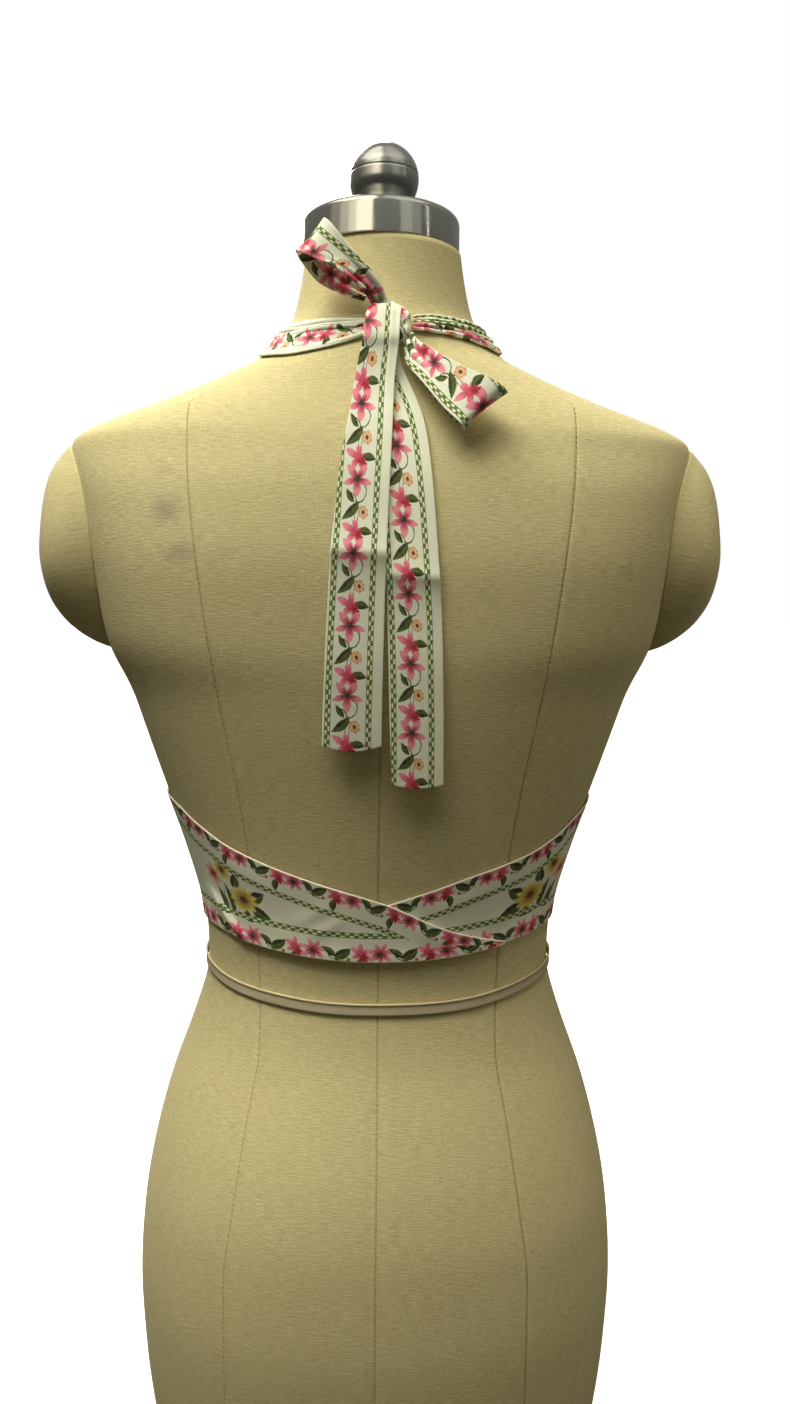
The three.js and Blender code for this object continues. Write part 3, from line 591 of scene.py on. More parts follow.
hand_over(form_cover, linen("woven_linen_body", BODY_MARKS, True), "form_linen", "form_body")
cap_linen = linen("woven_linen_caps", CAP_MARKS, False)

# %% [markdown]
# ## Shoulder caps
# A form without arms ends in two rounded caps, sewn on along the armhole. Their
# outline is a soft oval on a slanting plate, which swells out and closes over. The rim
# tucks in a little, and that tuck is the dark armhole seam.

# %% Shoulder caps
CAP_RINGS = table("step out low high deep", """
    0  0     0    143  54
    1  3.5   1.5  139  53.5
    2  9     5    133  52
    3  16    11   123  49
    4  23    19   109  44
    5  28.5  28   93   36
    6  32.3  38   79   26
    7  34.2  52   65   9""")
ARMHOLE_LOW, ARMHOLE_HIGH, ARMHOLE_MIDDLE = 602, 742, 6


def shoulder_cap(name, sign):
    round_the_oval = np.radians(np.linspace(0, 360, 97)[:-1])
    step = np.concatenate([[0, 0.06, 0.16], np.linspace(0.3, 6.9, 42)])[:, None]
    out, low, high, deep = (ring(step) for ring in curves(CAP_RINGS))
    foot = np.array([side(ARMHOLE_LOW), ARMHOLE_LOW])
    rise = np.array([side(ARMHOLE_HIGH), ARMHOLE_HIGH]) - foot
    rise /= np.linalg.norm(rise)
    tuck = np.where(step < 0.05, 0.985, 1)
    up_plate = (low + high) / 2 + (high - low) / 2 * tuck * np.sin(round_the_oval)
    y = ARMHOLE_MIDDLE + deep * tuck * np.cos(round_the_oval)
    z = foot[1] + rise[1] * up_plate
    half = np.where(y > 0, back(z), front(z))
    square = np.where(y > 0, square_back(z), square_front(z))
    body_x = side(z) * (1 - (abs(y) / half) ** square) ** (1 / square)
    domed = 1 - (deep / CAP_RINGS["deep"][0]) ** 3
    plate_x = foot[0] + rise[0] * up_plate
    x = body_x + (np.maximum(plate_x, body_x) - body_x) * domed + 1 - 0.9 * (step < 0.05)
    points = np.stack([x + rise[1] * out, y, z - rise[0] * out], -1)
    tip = points[-1].mean(0) + np.array([rise[1], 0, -rise[0]]) * 0.25
    points[..., 0] *= sign
    tip[0] *= sign
    rows, columns = points.shape[:2]
    faces = [tuple(face[::sign]) for face in quads(rows, columns, closed=True)]
    last = (rows - 1) * columns
    faces += [(last + i, last + (i + 1) % columns, rows * columns)[::sign]
              for i in range(columns)]
    faces.append(tuple(range(columns))[::-sign])
    along = run_length(points, 0)
    place = np.stack([sign * (y - ARMHOLE_MIDDLE) * 1.2, z], -1).reshape(-1, 2)
    place = np.append(place, [[0, z[-1].mean()]], 0)
    print(name, "dome stands", round(float(along[-1].max()), 1), "mm from rim to tip")
    return make_mesh(name, np.append(points.reshape(-1, 3), [tip], 0), faces, {"cloth": place})


for name, sign in (("left", 1), ("right", -1)):
    hand_over(shoulder_cap("form_linen_shoulder_" + name, sign), cap_linen, "form_linen",
              "form_shoulder_" + name)

# %% [markdown]
# ## Waist tape
# A narrow twill tape is drawn round the waist over the cover. It is one band with a
# woven edge, so it gets a rounded upper lip that catches the light.

# %% Waist tape
TAPE_WIDTH, TAPE_TOP_SIDE, TAPE_DIP = 8, 391, 12


def waist_tape():
    angles = np.linspace(0, 360, 361)[:-1][:, None]
    section = table("up out", """
        0    0.9
        0    1.3
        0.3  1.75
        1.2  1.8
        3.5  1.7
        5.6  1.65
        6.3  1.8
        6.7  2.15
        7.3  2.3
        7.8  2.0
        8.0  1.5
        7.8  0.95
        4.0  0.9""")
    dip = np.maximum(0, np.sin(np.radians(angles))) ** 1.5
    foot = TAPE_TOP_SIDE - TAPE_DIP * dip - TAPE_WIDTH
    foot = foot + 0.35 * np.sin(np.radians(angles * 7)) * np.sin(np.radians(angles * 2.3))
    points = on_form(angles, foot + section["up"], 0.1 + section["out"] + 0 * angles)
    points = np.concatenate([points, points[:1]], 0)
    along = run_length(points, 0)[:-1]
    rows, columns = len(angles), len(section["up"])
    faces = quads(rows + 1, columns, closed=True) % (rows * columns)
    round_edge = np.stack([along, section["up"] + 0 * along], -1)
    return make_mesh("form_twill_tape", points[:-1], faces[:, ::-1], {"cloth": round_edge})

# %% Twill
def twill_tape():
    """Cotton twill, matt and a little grubby. Its ribs slant and are drawn 0.7 mm apart,
    wider than they are, so that they show. The upper lip is drawn paler, a painted
    highlight where the rounded lip catches the light."""
    made, tree = material("cotton_twill_tape")
    place = add(tree, "ShaderNodeUVMap", uv_map="cloth")[0]
    slant = add(tree, "ShaderNodeMapping", place, (0, 0, 0), (0, 0, math.radians(32)),
                (1, 1, 1))[0]
    twill = add(tree, "ShaderNodeTexWave", at={
        "Vector": slant, "Scale": 0.45, "Distortion": 1.5, "Detail": 2.0,
        "Detail Scale": 2.0})["Fac"]
    speckle = add(tree, "ShaderNodeTexNoise", at={
        "Vector": place, "Scale": 1.6, "Detail": 3.0, "Roughness": 0.7})["Fac"]
    mixed = add(tree, "ShaderNodeMix", at={
        0: speckle, 6: linear("#A2967A"), 7: linear("#D9CFB2")}, data_type="RGBA")[2]
    height = add(tree, "ShaderNodeSeparateXYZ", place)["Y"]
    # painted highlight: the rounded upper lip is drawn paler, as where it catches the light
    painted_lip_highlight = add(tree, "ShaderNodeMapRange", height, 6.0, 6.9, 0.0, 0.8)[0]
    mixed = add(tree, "ShaderNodeMix", at={
        0: painted_lip_highlight, 6: mixed, 7: linear("#DDD2A6")}, data_type="RGBA")[2]
    ribs = add(tree, "ShaderNodeMath", twill, speckle, operation="ADD")[0]
    bump = add(tree, "ShaderNodeBump", at={
        "Strength": 0.6, "Distance": 0.0003, "Height": ribs})[0]
    shader = add(tree, "ShaderNodeBsdfPrincipled", at={
        "Base Color": mixed, "Roughness": 0.88, "Specular IOR Level": 0.25, "Normal": bump})[0]
    add(tree, "ShaderNodeOutputMaterial", shader)
    return made


hand_over(waist_tape(), twill_tape(), "woven_tape", "form_waist_tape")

# %% [markdown]
# ## Collar and ball
# The neck ends in a turned steel collar with a ball on it. Both were brushed on a
# lathe, so the scratches run round them: a highlight then spreads up and down into a
# tall stripe. They are drawn a sixth of a millimetre apart. Steel takes all its colour
# from what it reflects. The ball has had some knocks along its groove.

# %% Turned pieces
COLLAR_RADIUS, COLLAR_HEIGHT, COLLAR_ROUND, SEAM_GAP = 54.1, 25.1, 6, 0.3
KNOB_RADIUS, KNOB_CENTRE, STEM_RADIUS = 23.8, 923.8, 12
GROOVE_ABOVE, GROOVE_DEEP = 2.6, 0.8
COLLAR_ASIDE = 2                # the collar sits a little to the wearer's left


def turned(name, profile, around=128, aside=0):
    """A lathe-turned piece on the form's axis, from a profile of radius and height."""
    profile = np.asarray(profile, float)
    turn = np.linspace(0, 2 * np.pi, around + 1)[:-1]
    points = np.stack([np.outer(profile[:, 0], np.cos(turn)), np.outer(
        profile[:, 0], np.sin(turn)), np.outer(profile[:, 1], np.ones(around))], -1)
    points += (aside, 0, 0)
    run = run_length(profile, 0)
    place = np.stack([np.outer(np.ones(len(profile)), turn * profile[:, 0].max()),
                      np.outer(run, np.ones(around))], -1)
    return make_mesh(name, points, closed_tube(len(profile), around), {"turning": place})


def rounded(corner_radius, corner_z, bevel, start, count=7):
    angles = np.radians(np.linspace(start, start + 90, count))
    return [(corner_radius - bevel + bevel * math.cos(a), corner_z + bevel * math.sin(a))
            for a in angles]

# %% Collar
foot, top = NECK_TOP + SEAM_GAP, NECK_TOP + COLLAR_HEIGHT
collar_profile = [(COLLAR_RADIUS - 6, foot + 0.02), (COLLAR_RADIUS - 2, foot)]
collar_profile += rounded(COLLAR_RADIUS, foot + 0.8, 0.8, -90)
collar_profile += rounded(COLLAR_RADIUS, top - COLLAR_ROUND, COLLAR_ROUND, 0, 16)
collar_profile += [(STEM_RADIUS + 6, top), (4, top)]
collar = turned("form_steel_collar", collar_profile, 192, COLLAR_ASIDE)
print("collar", 2 * COLLAR_RADIUS, "mm across")

# %% Ball
def on_ball(turn):
    """Radius and height on the ball, at an angle up from its lowest point."""
    return KNOB_RADIUS * math.sin(turn), KNOB_CENTRE - KNOB_RADIUS * math.cos(turn)


stem_angle, groove_angle = math.asin(STEM_RADIUS / KNOB_RADIUS), 0.45 / KNOB_RADIUS
groove_at = math.pi / 2 + GROOVE_ABOVE / KNOB_RADIUS
knob = turned("form_steel_ball", [
    (STEM_RADIUS, top + SEAM_GAP),
    *map(on_ball, np.linspace(stem_angle, groove_at - groove_angle, 24)),
    (KNOB_RADIUS - GROOVE_DEEP, KNOB_CENTRE + GROOVE_ABOVE),
    *map(on_ball, np.linspace(groove_at + groove_angle, math.pi - 0.06, 28))], 128)
print("ball", 2 * KNOB_RADIUS, "mm across")

# %% Brushed steel
BALL_KNOCKS = (38, 95.0)        # mm up the ball from its stem, and round it


def brushed_steel(name, colour, roughness, knocked):
    made, tree = material(name)
    place = add(tree, "ShaderNodeUVMap", uv_map="turning")[0]
    lines = add(tree, "ShaderNodeMapping", place, (0, 0, 0), (0, 0, 0), (0.02, 6, 1))[0]
    scratch = add(tree, "ShaderNodeTexNoise", at={
        "Vector": lines, "Scale": 1.0, "Detail": 4.0, "Roughness": 0.7})["Fac"]
    cloud = add(tree, "ShaderNodeTexNoise", at={
        "Vector": place, "Scale": 0.08, "Detail": 2.0})["Fac"]
    dull = add(tree, "ShaderNodeMapRange", cloud, 0.3, 0.7,
               roughness - 0.03, roughness + 0.04)[0]
    height = scratch
    if knocked:
        chips = add(tree, "ShaderNodeTexNoise", at={
            "Vector": place, "Scale": 0.55, "Detail": 3.0, "Roughness": 0.6})["Fac"]
        run = add(tree, "ShaderNodeSeparateXYZ", place)
        belt = add(tree, "ShaderNodeMath", run["Y"], knocked[0], operation="SUBTRACT")[0]
        belt = add(tree, "ShaderNodeMath", belt, operation="ABSOLUTE")[0]
        arc = add(tree, "ShaderNodeMath", run["X"], knocked[1], operation="SUBTRACT")[0]
        arc = add(tree, "ShaderNodeMath", arc, operation="ABSOLUTE")[0]
        near = add(tree, "ShaderNodeMapRange", belt, 0.5, 6.0, 1.0, 0.0)[0]
        near = add(tree, "ShaderNodeMath", near, add(
            tree, "ShaderNodeMapRange", arc, 10.0, 22.0, 1.0, 0.0)[0], operation="MULTIPLY")[0]
        dents = add(tree, "ShaderNodeMapRange", chips, 0.5, 0.56, 0.0, 1.0)[0]
        dents = add(tree, "ShaderNodeMath", dents, near, operation="MULTIPLY")[0]
        height = add(tree, "ShaderNodeMath", add(
            tree, "ShaderNodeMath", dents, -14.0, operation="MULTIPLY")[0], scratch,
            operation="ADD")[0]
    bump = add(tree, "ShaderNodeBump", at={
        "Strength": 0.25, "Distance": 0.00006, "Height": height})[0]
    shader = add(tree, "ShaderNodeBsdfPrincipled", at={
        "Base Color": linear(colour), "Metallic": 1.0, "Roughness": dull,
        "Anisotropic": 0.6, "Anisotropic Rotation": 0.0, "Normal": bump})[0]
    add(tree, "ShaderNodeOutputMaterial", shader)
    return made


hand_over(collar, brushed_steel("brushed_steel_collar", "#B4B3AC", 0.09, None),
          "brushed_steel", "form_neck_cap")
hand_over(knob, brushed_steel("brushed_steel_ball", "#A9A8A2", 0.2, BALL_KNOCKS),
          "brushed_steel", "form_knob")

# %% [markdown]
# ## Stitches of the form's seams
# The cover's panels are sewn together by hand with a stout thread, so each seam
# carries a row of short, slightly twisted stitches. Geometry Nodes sets one small
# rounded stitch on each point of the seams and turns it along the seam, with a
# little chance in its tilt and length. The seed is fixed.

# %% Points along the seams
def stitch_places():
    heights = np.arange(3, SEAM_TOP - 2, STITCH_PITCH)
    angles = seam_angles(heights)[:, :8]
    angles = np.where(angles > 180, angles - 360, angles)
    low, high = (on_form(angles, heights[:, None] + step, -0.15) for step in (-0.5, 0.5))
    outside = on_form(angles, heights[:, None], 1)
    places = (low + high) / 2
    return places, high - low, outside - places


places, along, outward = (rows.reshape(-1, 3) for rows in stitch_places())
stitch_points = make_mesh("form_seam_stitches", places, [])
for name, vectors in (("along", along), ("outward", outward)):
    stitch_points.data.attributes.new(name, "FLOAT_VECTOR", "POINT").data.foreach_set(
        "vector", vectors.ravel())
print(len(places), "stitches")

# %% One stitch on each point
def stitch_tree():
    tree = bpy.data.node_groups.new("hand stitches", "GeometryNodeTree")
    tree.interface.new_socket("Geometry", in_out="OUTPUT", socket_type="NodeSocketGeometry")
    for socket, kind in {"Geometry": "Geometry", "Length": "Float", "Thickness": "Float",
                         "Seed": "Int", "Material": "Material"}.items():
        tree.interface.new_socket(socket, in_out="INPUT", socket_type="NodeSocket" + kind)
    given = tree.nodes.new("NodeGroupInput").outputs
    ball = add(tree, "GeometryNodeMeshUVSphere", 6, 4, 0.5)["Mesh"]
    size = add(tree, "ShaderNodeCombineXYZ", given["Length"], given["Thickness"],
               given["Thickness"])[0]
    stitch = add(tree, "GeometryNodeTransform", at={"Geometry": ball, "Scale": size})[0]
    along, outward = (add(tree, "GeometryNodeInputNamedAttribute", name,
                          data_type="FLOAT_VECTOR")[0] for name in ("along", "outward"))
    facing = add(tree, "FunctionNodeAlignRotationToVector", at={"Vector": outward}, axis="Z")[0]
    turned_to = add(tree, "FunctionNodeAlignRotationToVector", at={
        "Rotation": facing, "Vector": along}, axis="X", pivot_axis="Z")[0]
    tilt = add(tree, "FunctionNodeRandomValue", at={
        "Min": 0.25, "Max": 0.6, "Seed": given["Seed"]}, data_type="FLOAT")["Value"]
    twist = add(tree, "FunctionNodeAxisAngleToRotation", at={
        "Axis": (0, 0, 1), "Angle": tilt})[0]
    rotation = add(tree, "FunctionNodeRotateRotation", turned_to, twist,
                   rotation_space="LOCAL")[0]
    length = add(tree, "FunctionNodeRandomValue", at={
        "Min": 0.8, "Max": 1.15, "Seed": given["Seed"], "ID": 7}, data_type="FLOAT")["Value"]
    rows = add(tree, "GeometryNodeInstanceOnPoints", at={
        "Points": given["Geometry"], "Instance": stitch, "Rotation": rotation,
        "Scale": length})[0]
    whole = add(tree, "GeometryNodeRealizeInstances", rows)[0]
    whole = add(tree, "GeometryNodeSetMaterial", at={
        "Geometry": whole, "Material": given["Material"]})[0]
    add(tree, "NodeGroupOutput", whole)
    return tree

# %% From a tree to a plain mesh
def grown(piece, tree, **values):
    """The piece as the tree makes it, as a plain mesh."""
    modifier = piece.modifiers.new(tree.name, "NODES")
    modifier.node_group = tree
    for socket in tree.interface.items_tree:
        if socket.in_out == "INPUT" and socket.name in values:
            modifier[socket.identifier] = values[socket.name]
    bpy.context.view_layer.update()
    evaluated = piece.evaluated_get(bpy.context.evaluated_depsgraph_get())
    mesh = bpy.data.meshes.new_from_object(evaluated)
    piece.modifiers.remove(modifier)
    piece.data = mesh
    return piece

# %% Thread and stitches
def thread(name, colour):
    """Twisted linen thread: dry and matt, a little darker than the cloth it sews."""
    made, tree = material(name)
    shader = add(tree, "ShaderNodeBsdfPrincipled", at={
        "Base Color": linear(colour), "Roughness": 0.85, "IOR": 1.45,
        "Specular IOR Level": 0.3})
    add(tree, "ShaderNodeOutputMaterial", shader[0])
    return made


linen_thread = thread("linen_thread", "#B4A873")
stitches = grown(stitch_points, stitch_tree(), Length=0.0021, Thickness=0.0006, Seed=4,
                 Material=linen_thread)
hand_over(stitches, linen_thread, "form_linen")

# %% [markdown]
# ## The print
# The cotton carries an engineered border: a vine of pink flowers with dark leaves, and
# beside it a narrow chequered line. Nothing here is a picture. Each flower, leaf and
# stem is a small rule, such as the reach of a petal at each angle, placed by a table
# that is charted in millimetres. One repeat is 43.5 mm long. The tie shows the border
# at full size and the body panels a little smaller.
#
# A rule has crisp edges, and screen printing on cotton doesn't, so a fine noise nudges
# the place before the rules read it. The flecks are drawn about a millimetre wide and
# the weave 0.6 mm apart, wider than the yarn, so that they show.

# %% Groups of nodes
def node_group(name, inputs, outputs):
    tree = bpy.data.node_groups.new(name, "ShaderNodeTree")
    for way, sockets in (("INPUT", inputs), ("OUTPUT", outputs)):
        for socket, kind in sockets.items():
            tree.interface.new_socket(socket, in_out=way, socket_type="NodeSocket" + kind)
    return tree, tree.nodes.new("NodeGroupInput").outputs

# %% Leaf
def leaf_shape():
    """A leaf from x -1 to 1, pointed at both ends, with a paler half and a midrib."""
    tree, given = node_group("leaf", {"Place": "Vector"}, {"Mask": "Float", "Tone": "Float"})
    place = add(tree, "ShaderNodeSeparateXYZ", given["Place"])
    squared = add(tree, "ShaderNodeMath", place["X"], place["X"], operation="MULTIPLY")[0]
    taper = add(tree, "ShaderNodeMath", 1.0, squared, operation="SUBTRACT", use_clamp=True)[0]
    bowed = add(tree, "ShaderNodeMath", taper, -0.28, place["Y"], operation="MULTIPLY_ADD")[0]
    fuller = add(tree, "ShaderNodeMath", place["X"], -0.3, 1.0, operation="MULTIPLY_ADD")[0]
    width = add(tree, "ShaderNodeMath", taper, fuller, operation="MULTIPLY")[0]
    off = add(tree, "ShaderNodeMath", bowed, operation="ABSOLUTE")[0]
    inside = add(tree, "ShaderNodeMath", width, off, operation="SUBTRACT")[0]
    mask = add(tree, "ShaderNodeMapRange", inside, 0.0, 0.12, 0.0, 1.0)[0]
    half = add(tree, "ShaderNodeMapRange", bowed, -0.04, 0.04, 0.0, 0.45)[0]
    rib = add(tree, "ShaderNodeMapRange", off, 0.05, 0.1, 0.9, 0.0)[0]
    tone = add(tree, "ShaderNodeMath", half, rib, operation="MAXIMUM")[0]
    add(tree, "NodeGroupOutput", mask, tone)
    return tree

# %% Flower
def flower_shape():
    """Pointed petals inside radius 1. Sharp thins them and Heart fills the middle, up
    to 1 for a plain disc. Tone rises from the middle to the tips, less between petals."""
    tree, given = node_group("flower", {
        "Place": "Vector", "Petals": "Float", "Sharp": "Float", "Heart": "Float"},
        {"Mask": "Float", "Tone": "Float"})
    place = add(tree, "ShaderNodeSeparateXYZ", given["Place"])
    angle = add(tree, "ShaderNodeMath", place["Y"], place["X"], operation="ARCTAN2")[0]
    reach = add(tree, "ShaderNodeVectorMath", given["Place"], operation="LENGTH")["Value"]
    turns = add(tree, "ShaderNodeMath", angle, 1 / math.tau, operation="MULTIPLY")[0]
    petals = add(tree, "ShaderNodeMath", turns, given["Petals"], operation="MULTIPLY")[0]
    wave = add(tree, "ShaderNodeMath", petals, 0.5, operation="PINGPONG")[0]
    wave = add(tree, "ShaderNodeMath", wave, -2.0, 1.0, operation="MULTIPLY_ADD")[0]
    petal = add(tree, "ShaderNodeMath", wave, given["Sharp"], operation="POWER")[0]
    outer = add(tree, "ShaderNodeMath", 1.0, given["Heart"], operation="SUBTRACT")[0]
    limit = add(tree, "ShaderNodeMath", petal, outer, given["Heart"],
                operation="MULTIPLY_ADD")[0]
    uneven = add(tree, "ShaderNodeMath", angle, 2.0, 1.0, operation="MULTIPLY_ADD")[0]
    uneven = add(tree, "ShaderNodeMath", uneven, operation="SINE")[0]
    uneven = add(tree, "ShaderNodeMath", uneven, 0.1, 0.92, operation="MULTIPLY_ADD")[0]
    limit = add(tree, "ShaderNodeMath", limit, uneven, operation="MULTIPLY")[0]
    inside = add(tree, "ShaderNodeMath", limit, reach, operation="SUBTRACT")[0]
    mask = add(tree, "ShaderNodeMapRange", inside, 0.0, 0.06, 0.0, 1.0)[0]
    spoke = add(tree, "ShaderNodeMapRange", wave, 0.05, 0.3, 0.5, 0.0)[0]
    tone = add(tree, "ShaderNodeMapRange", reach, 0.22, 0.62, 0.0, 1.0)[0]
    tone = add(tree, "ShaderNodeMath", tone, spoke, operation="SUBTRACT", use_clamp=True)[0]
    add(tree, "NodeGroupOutput", mask, tone)
    return tree

# %% Stem
def stem_shape():
    """Half a circle of radius 1 on the side where y is positive, Thick wide."""
    tree, given = node_group("stem", {"Place": "Vector", "Thick": "Float"},
                             {"Mask": "Float", "Tone": "Float"})
    side_on = add(tree, "ShaderNodeSeparateXYZ", given["Place"])["Y"]
    reach = add(tree, "ShaderNodeVectorMath", given["Place"], operation="LENGTH")["Value"]
    off = add(tree, "ShaderNodeMath", reach, 1.0, operation="SUBTRACT")[0]
    off = add(tree, "ShaderNodeMath", off, operation="ABSOLUTE")[0]
    inside = add(tree, "ShaderNodeMath", given["Thick"], off, operation="SUBTRACT")[0]
    line = add(tree, "ShaderNodeMapRange", inside, 0.0, 0.03, 0.0, 1.0)[0]
    half = add(tree, "ShaderNodeMapRange", side_on, -0.02, 0.02, 0.0, 1.0)[0]
    mask = add(tree, "ShaderNodeMath", line, half, operation="MULTIPLY")[0]
    add(tree, "NodeGroupOutput", mask, half)
    return tree


SHAPES = {"leaf": leaf_shape(), "flower": flower_shape(), "stem": stem_shape()}
print("print shapes:", ", ".join(SHAPES))

# %% Inks
INKS = {
    "cream": "#E9EEDA", "leaf": "#1E2A0A", "leaf light": "#5F7426", "stem": "#2C3816",
    "rose": "#D2486E", "rose light": "#F088A0", "blush": "#C24468", "blush light": "#EE92A6",
    "red": "#9C0E26", "red light": "#C82840", "calyx": "#2A2A10", "peach": "#E0A274",
    "peach light": "#F0DDB0", "brown": "#7A3A16", "check": "#567430",
    "check pale": "#ECECCC", "yellow": "#A08226", "yellow light": "#E2CE6E",
    "maroon": "#4E1210", "maroon light": "#84361A", "coral": "#D9664C",
    "coral light": "#F0B090",
}
print(len(INKS), "inks")

# %% One repeat of the border, charted in millimetres
REPEAT, REPEAT_START = 43.5, -7.0
# The chequered line: from the vine's middle, half its width, and one cell's pitch.
CHECK_AT, CHECK_HALF, CHECK_CELL = 13.0, 1.9, 6.1

# Along the border and across it, length, width and turn in degrees, then the inks for
# middle and tips. Flowers add petals, sharpness and heart, and stems their thickness.
BORDER = [
    ("stem", 20.6, 1.6, 11.0, 8.0, -18, "stem", "stem", 0.1),
    ("stem", 24.0, -4.6, 8.6, 6.0, 44, "stem", "stem", 0.12),
    ("stem", 33.4, -0.9, 15.0, 3.4, -4, "stem", "stem", 0.13),
    ("stem", 34.4, 0.3, 12.5, 3.8, 176, "stem", "stem", 0.12),
    ("flower", 0.0, -0.8, 22.6, 19.5, 30, "rose", "rose light", 5, 0.8, 0.3),
    ("leaf", 0.4, 6.4, 10.2, 5.4, 80, "leaf", "leaf light"),
    ("flower", 2.0, 1.6, 8.6, 7.0, 60, "red", "red light", 5, 0.8, 0.5),
    ("flower", 12.4, -1.0, 22.0, 25.5, 0, "blush", "blush light", 5, 0.85, 0.28),
    ("flower", 12.0, -0.7, 12.0, 12.6, 0, "calyx", "blush", 5, 1.3, 0.28),
    ("leaf", 21.8, -5.2, 10.6, 3.8, 214, "leaf", "leaf light"),
    ("leaf", 31.0, -4.8, 16.0, 6.0, -48, "leaf", "leaf light"),
    ("flower", 31.8, 4.2, 8.8, 8.8, 10, "peach light", "peach", 7, 0.3, 0.7),
    ("flower", 31.8, 4.2, 2.9, 2.9, 0, "brown", "brown", 3, 1.0, 1.0),
]
# The body panels show the border cut closer: the leaves lie in along the vine, and the
# small flower is only a bud.
BODY_BORDER = [
    ("flower", 0.0, -0.8, 17.4, 15.6, 30, "rose", "rose light", 6, 0.66, 0.34),
    ("leaf", 0.4, 6.4, 10.2, 5.4, 80, "leaf", "leaf light"),
    ("flower", 2.0, 1.6, 8.2, 6.8, 60, "red", "red light", 5, 0.8, 0.5),
    ("flower", 12.4, -1.2, 19.4, 18.0, -12, "blush", "blush light", 7, 0.64, 0.32),
    ("flower", 11.8, -0.6, 11.0, 10.0, 16, "calyx", "blush", 7, 1.2, 0.3),
    ("stem", 27.0, 1.2, 9.0, 4.4, 10, "stem", "stem", 0.14),
    ("stem", 33.4, 2.4, 13.0, 4.0, -4, "stem", "stem", 0.14),
    ("leaf", 22.2, -1.3, 12.0, 4.4, 212, "leaf", "leaf light"),
    ("leaf", 31.6, -1.2, 13.5, 6.8, -30, "leaf", "leaf light"),
    ("flower", 35.6, 3.4, 4.0, 3.6, 10, "brown", "peach", 5, 0.5, 0.5),
]
print("border repeats every", REPEAT, "mm with", len(BORDER), "motifs")

# %% Bouquet
# Flowers in the wide part of the side panels, from the middle of the largest.
BOUQUET = [
    ("stem", 9.0, -4.0, 24.0, 12.0, 215, "stem", "stem", 0.06),
    ("leaf", -11.5, 4.0, 13.0, 8.4, 160, "leaf", "leaf light"),
    ("leaf", -12.5, -7.5, 17.0, 8.4, 205, "leaf", "leaf light"),
    ("leaf", -2.5, -11.5, 13.0, 6.0, 238, "leaf", "leaf light"),
    ("leaf", 13.0, -1.0, 22.0, 6.6, 74, "leaf", "leaf light"),
    ("leaf", 5.0, 12.5, 12.0, 8.0, 110, "leaf", "leaf light"),
    ("leaf", 21.5, -5.0, 24.0, 6.0, 66, "leaf", "leaf light"),
    ("flower", 27.0, 13.0, 19.0, 17.0, 30, "coral", "coral light", 6, 0.5, 0.4),
    ("flower", 27.0, 13.0, 7.0, 6.0, 0, "red", "maroon light", 4, 0.8, 0.5),
    ("flower", 15.0, 18.0, 17.5, 16.0, 12, "yellow", "yellow light", 11, 0.45, 0.6),
    ("flower", 15.0, 18.0, 7.5, 6.4, 12, "maroon", "maroon light", 7, 1.0, 0.5),
    ("flower", 0.0, 0.0, 24.5, 23.0, 0, "yellow", "yellow light", 13, 0.5, 0.6),
    ("flower", 0.0, 0.0, 8.6, 7.8, 8, "maroon", "maroon light", 8, 1.1, 0.5),
]
print("bouquet of", len(BOUQUET), "motifs")

# %% Painting motifs
def paint(tree, place, colour, motifs):
    """Lays the motifs over a colour, in order, where place is in millimetres."""
    for kind, along, across, length, width, turned_by, middle, tips, *rest in motifs:
        local = add(tree, "ShaderNodeMapping", place, (along, across, 0),
                    (0, 0, math.radians(turned_by)), (length / 2, width / 2, 1),
                    vector_type="TEXTURE")[0]
        shape = add(tree, "ShaderNodeGroup", local, *map(float, rest), node_tree=SHAPES[kind])
        ink = add(tree, "ShaderNodeMix", at={
            0: shape["Tone"], 6: linear(INKS[middle]), 7: linear(INKS[tips])},
            data_type="RGBA")[2]
        colour = add(tree, "ShaderNodeMix", at={0: shape["Mask"], 6: colour, 7: ink},
                     data_type="RGBA")[2]
    return colour

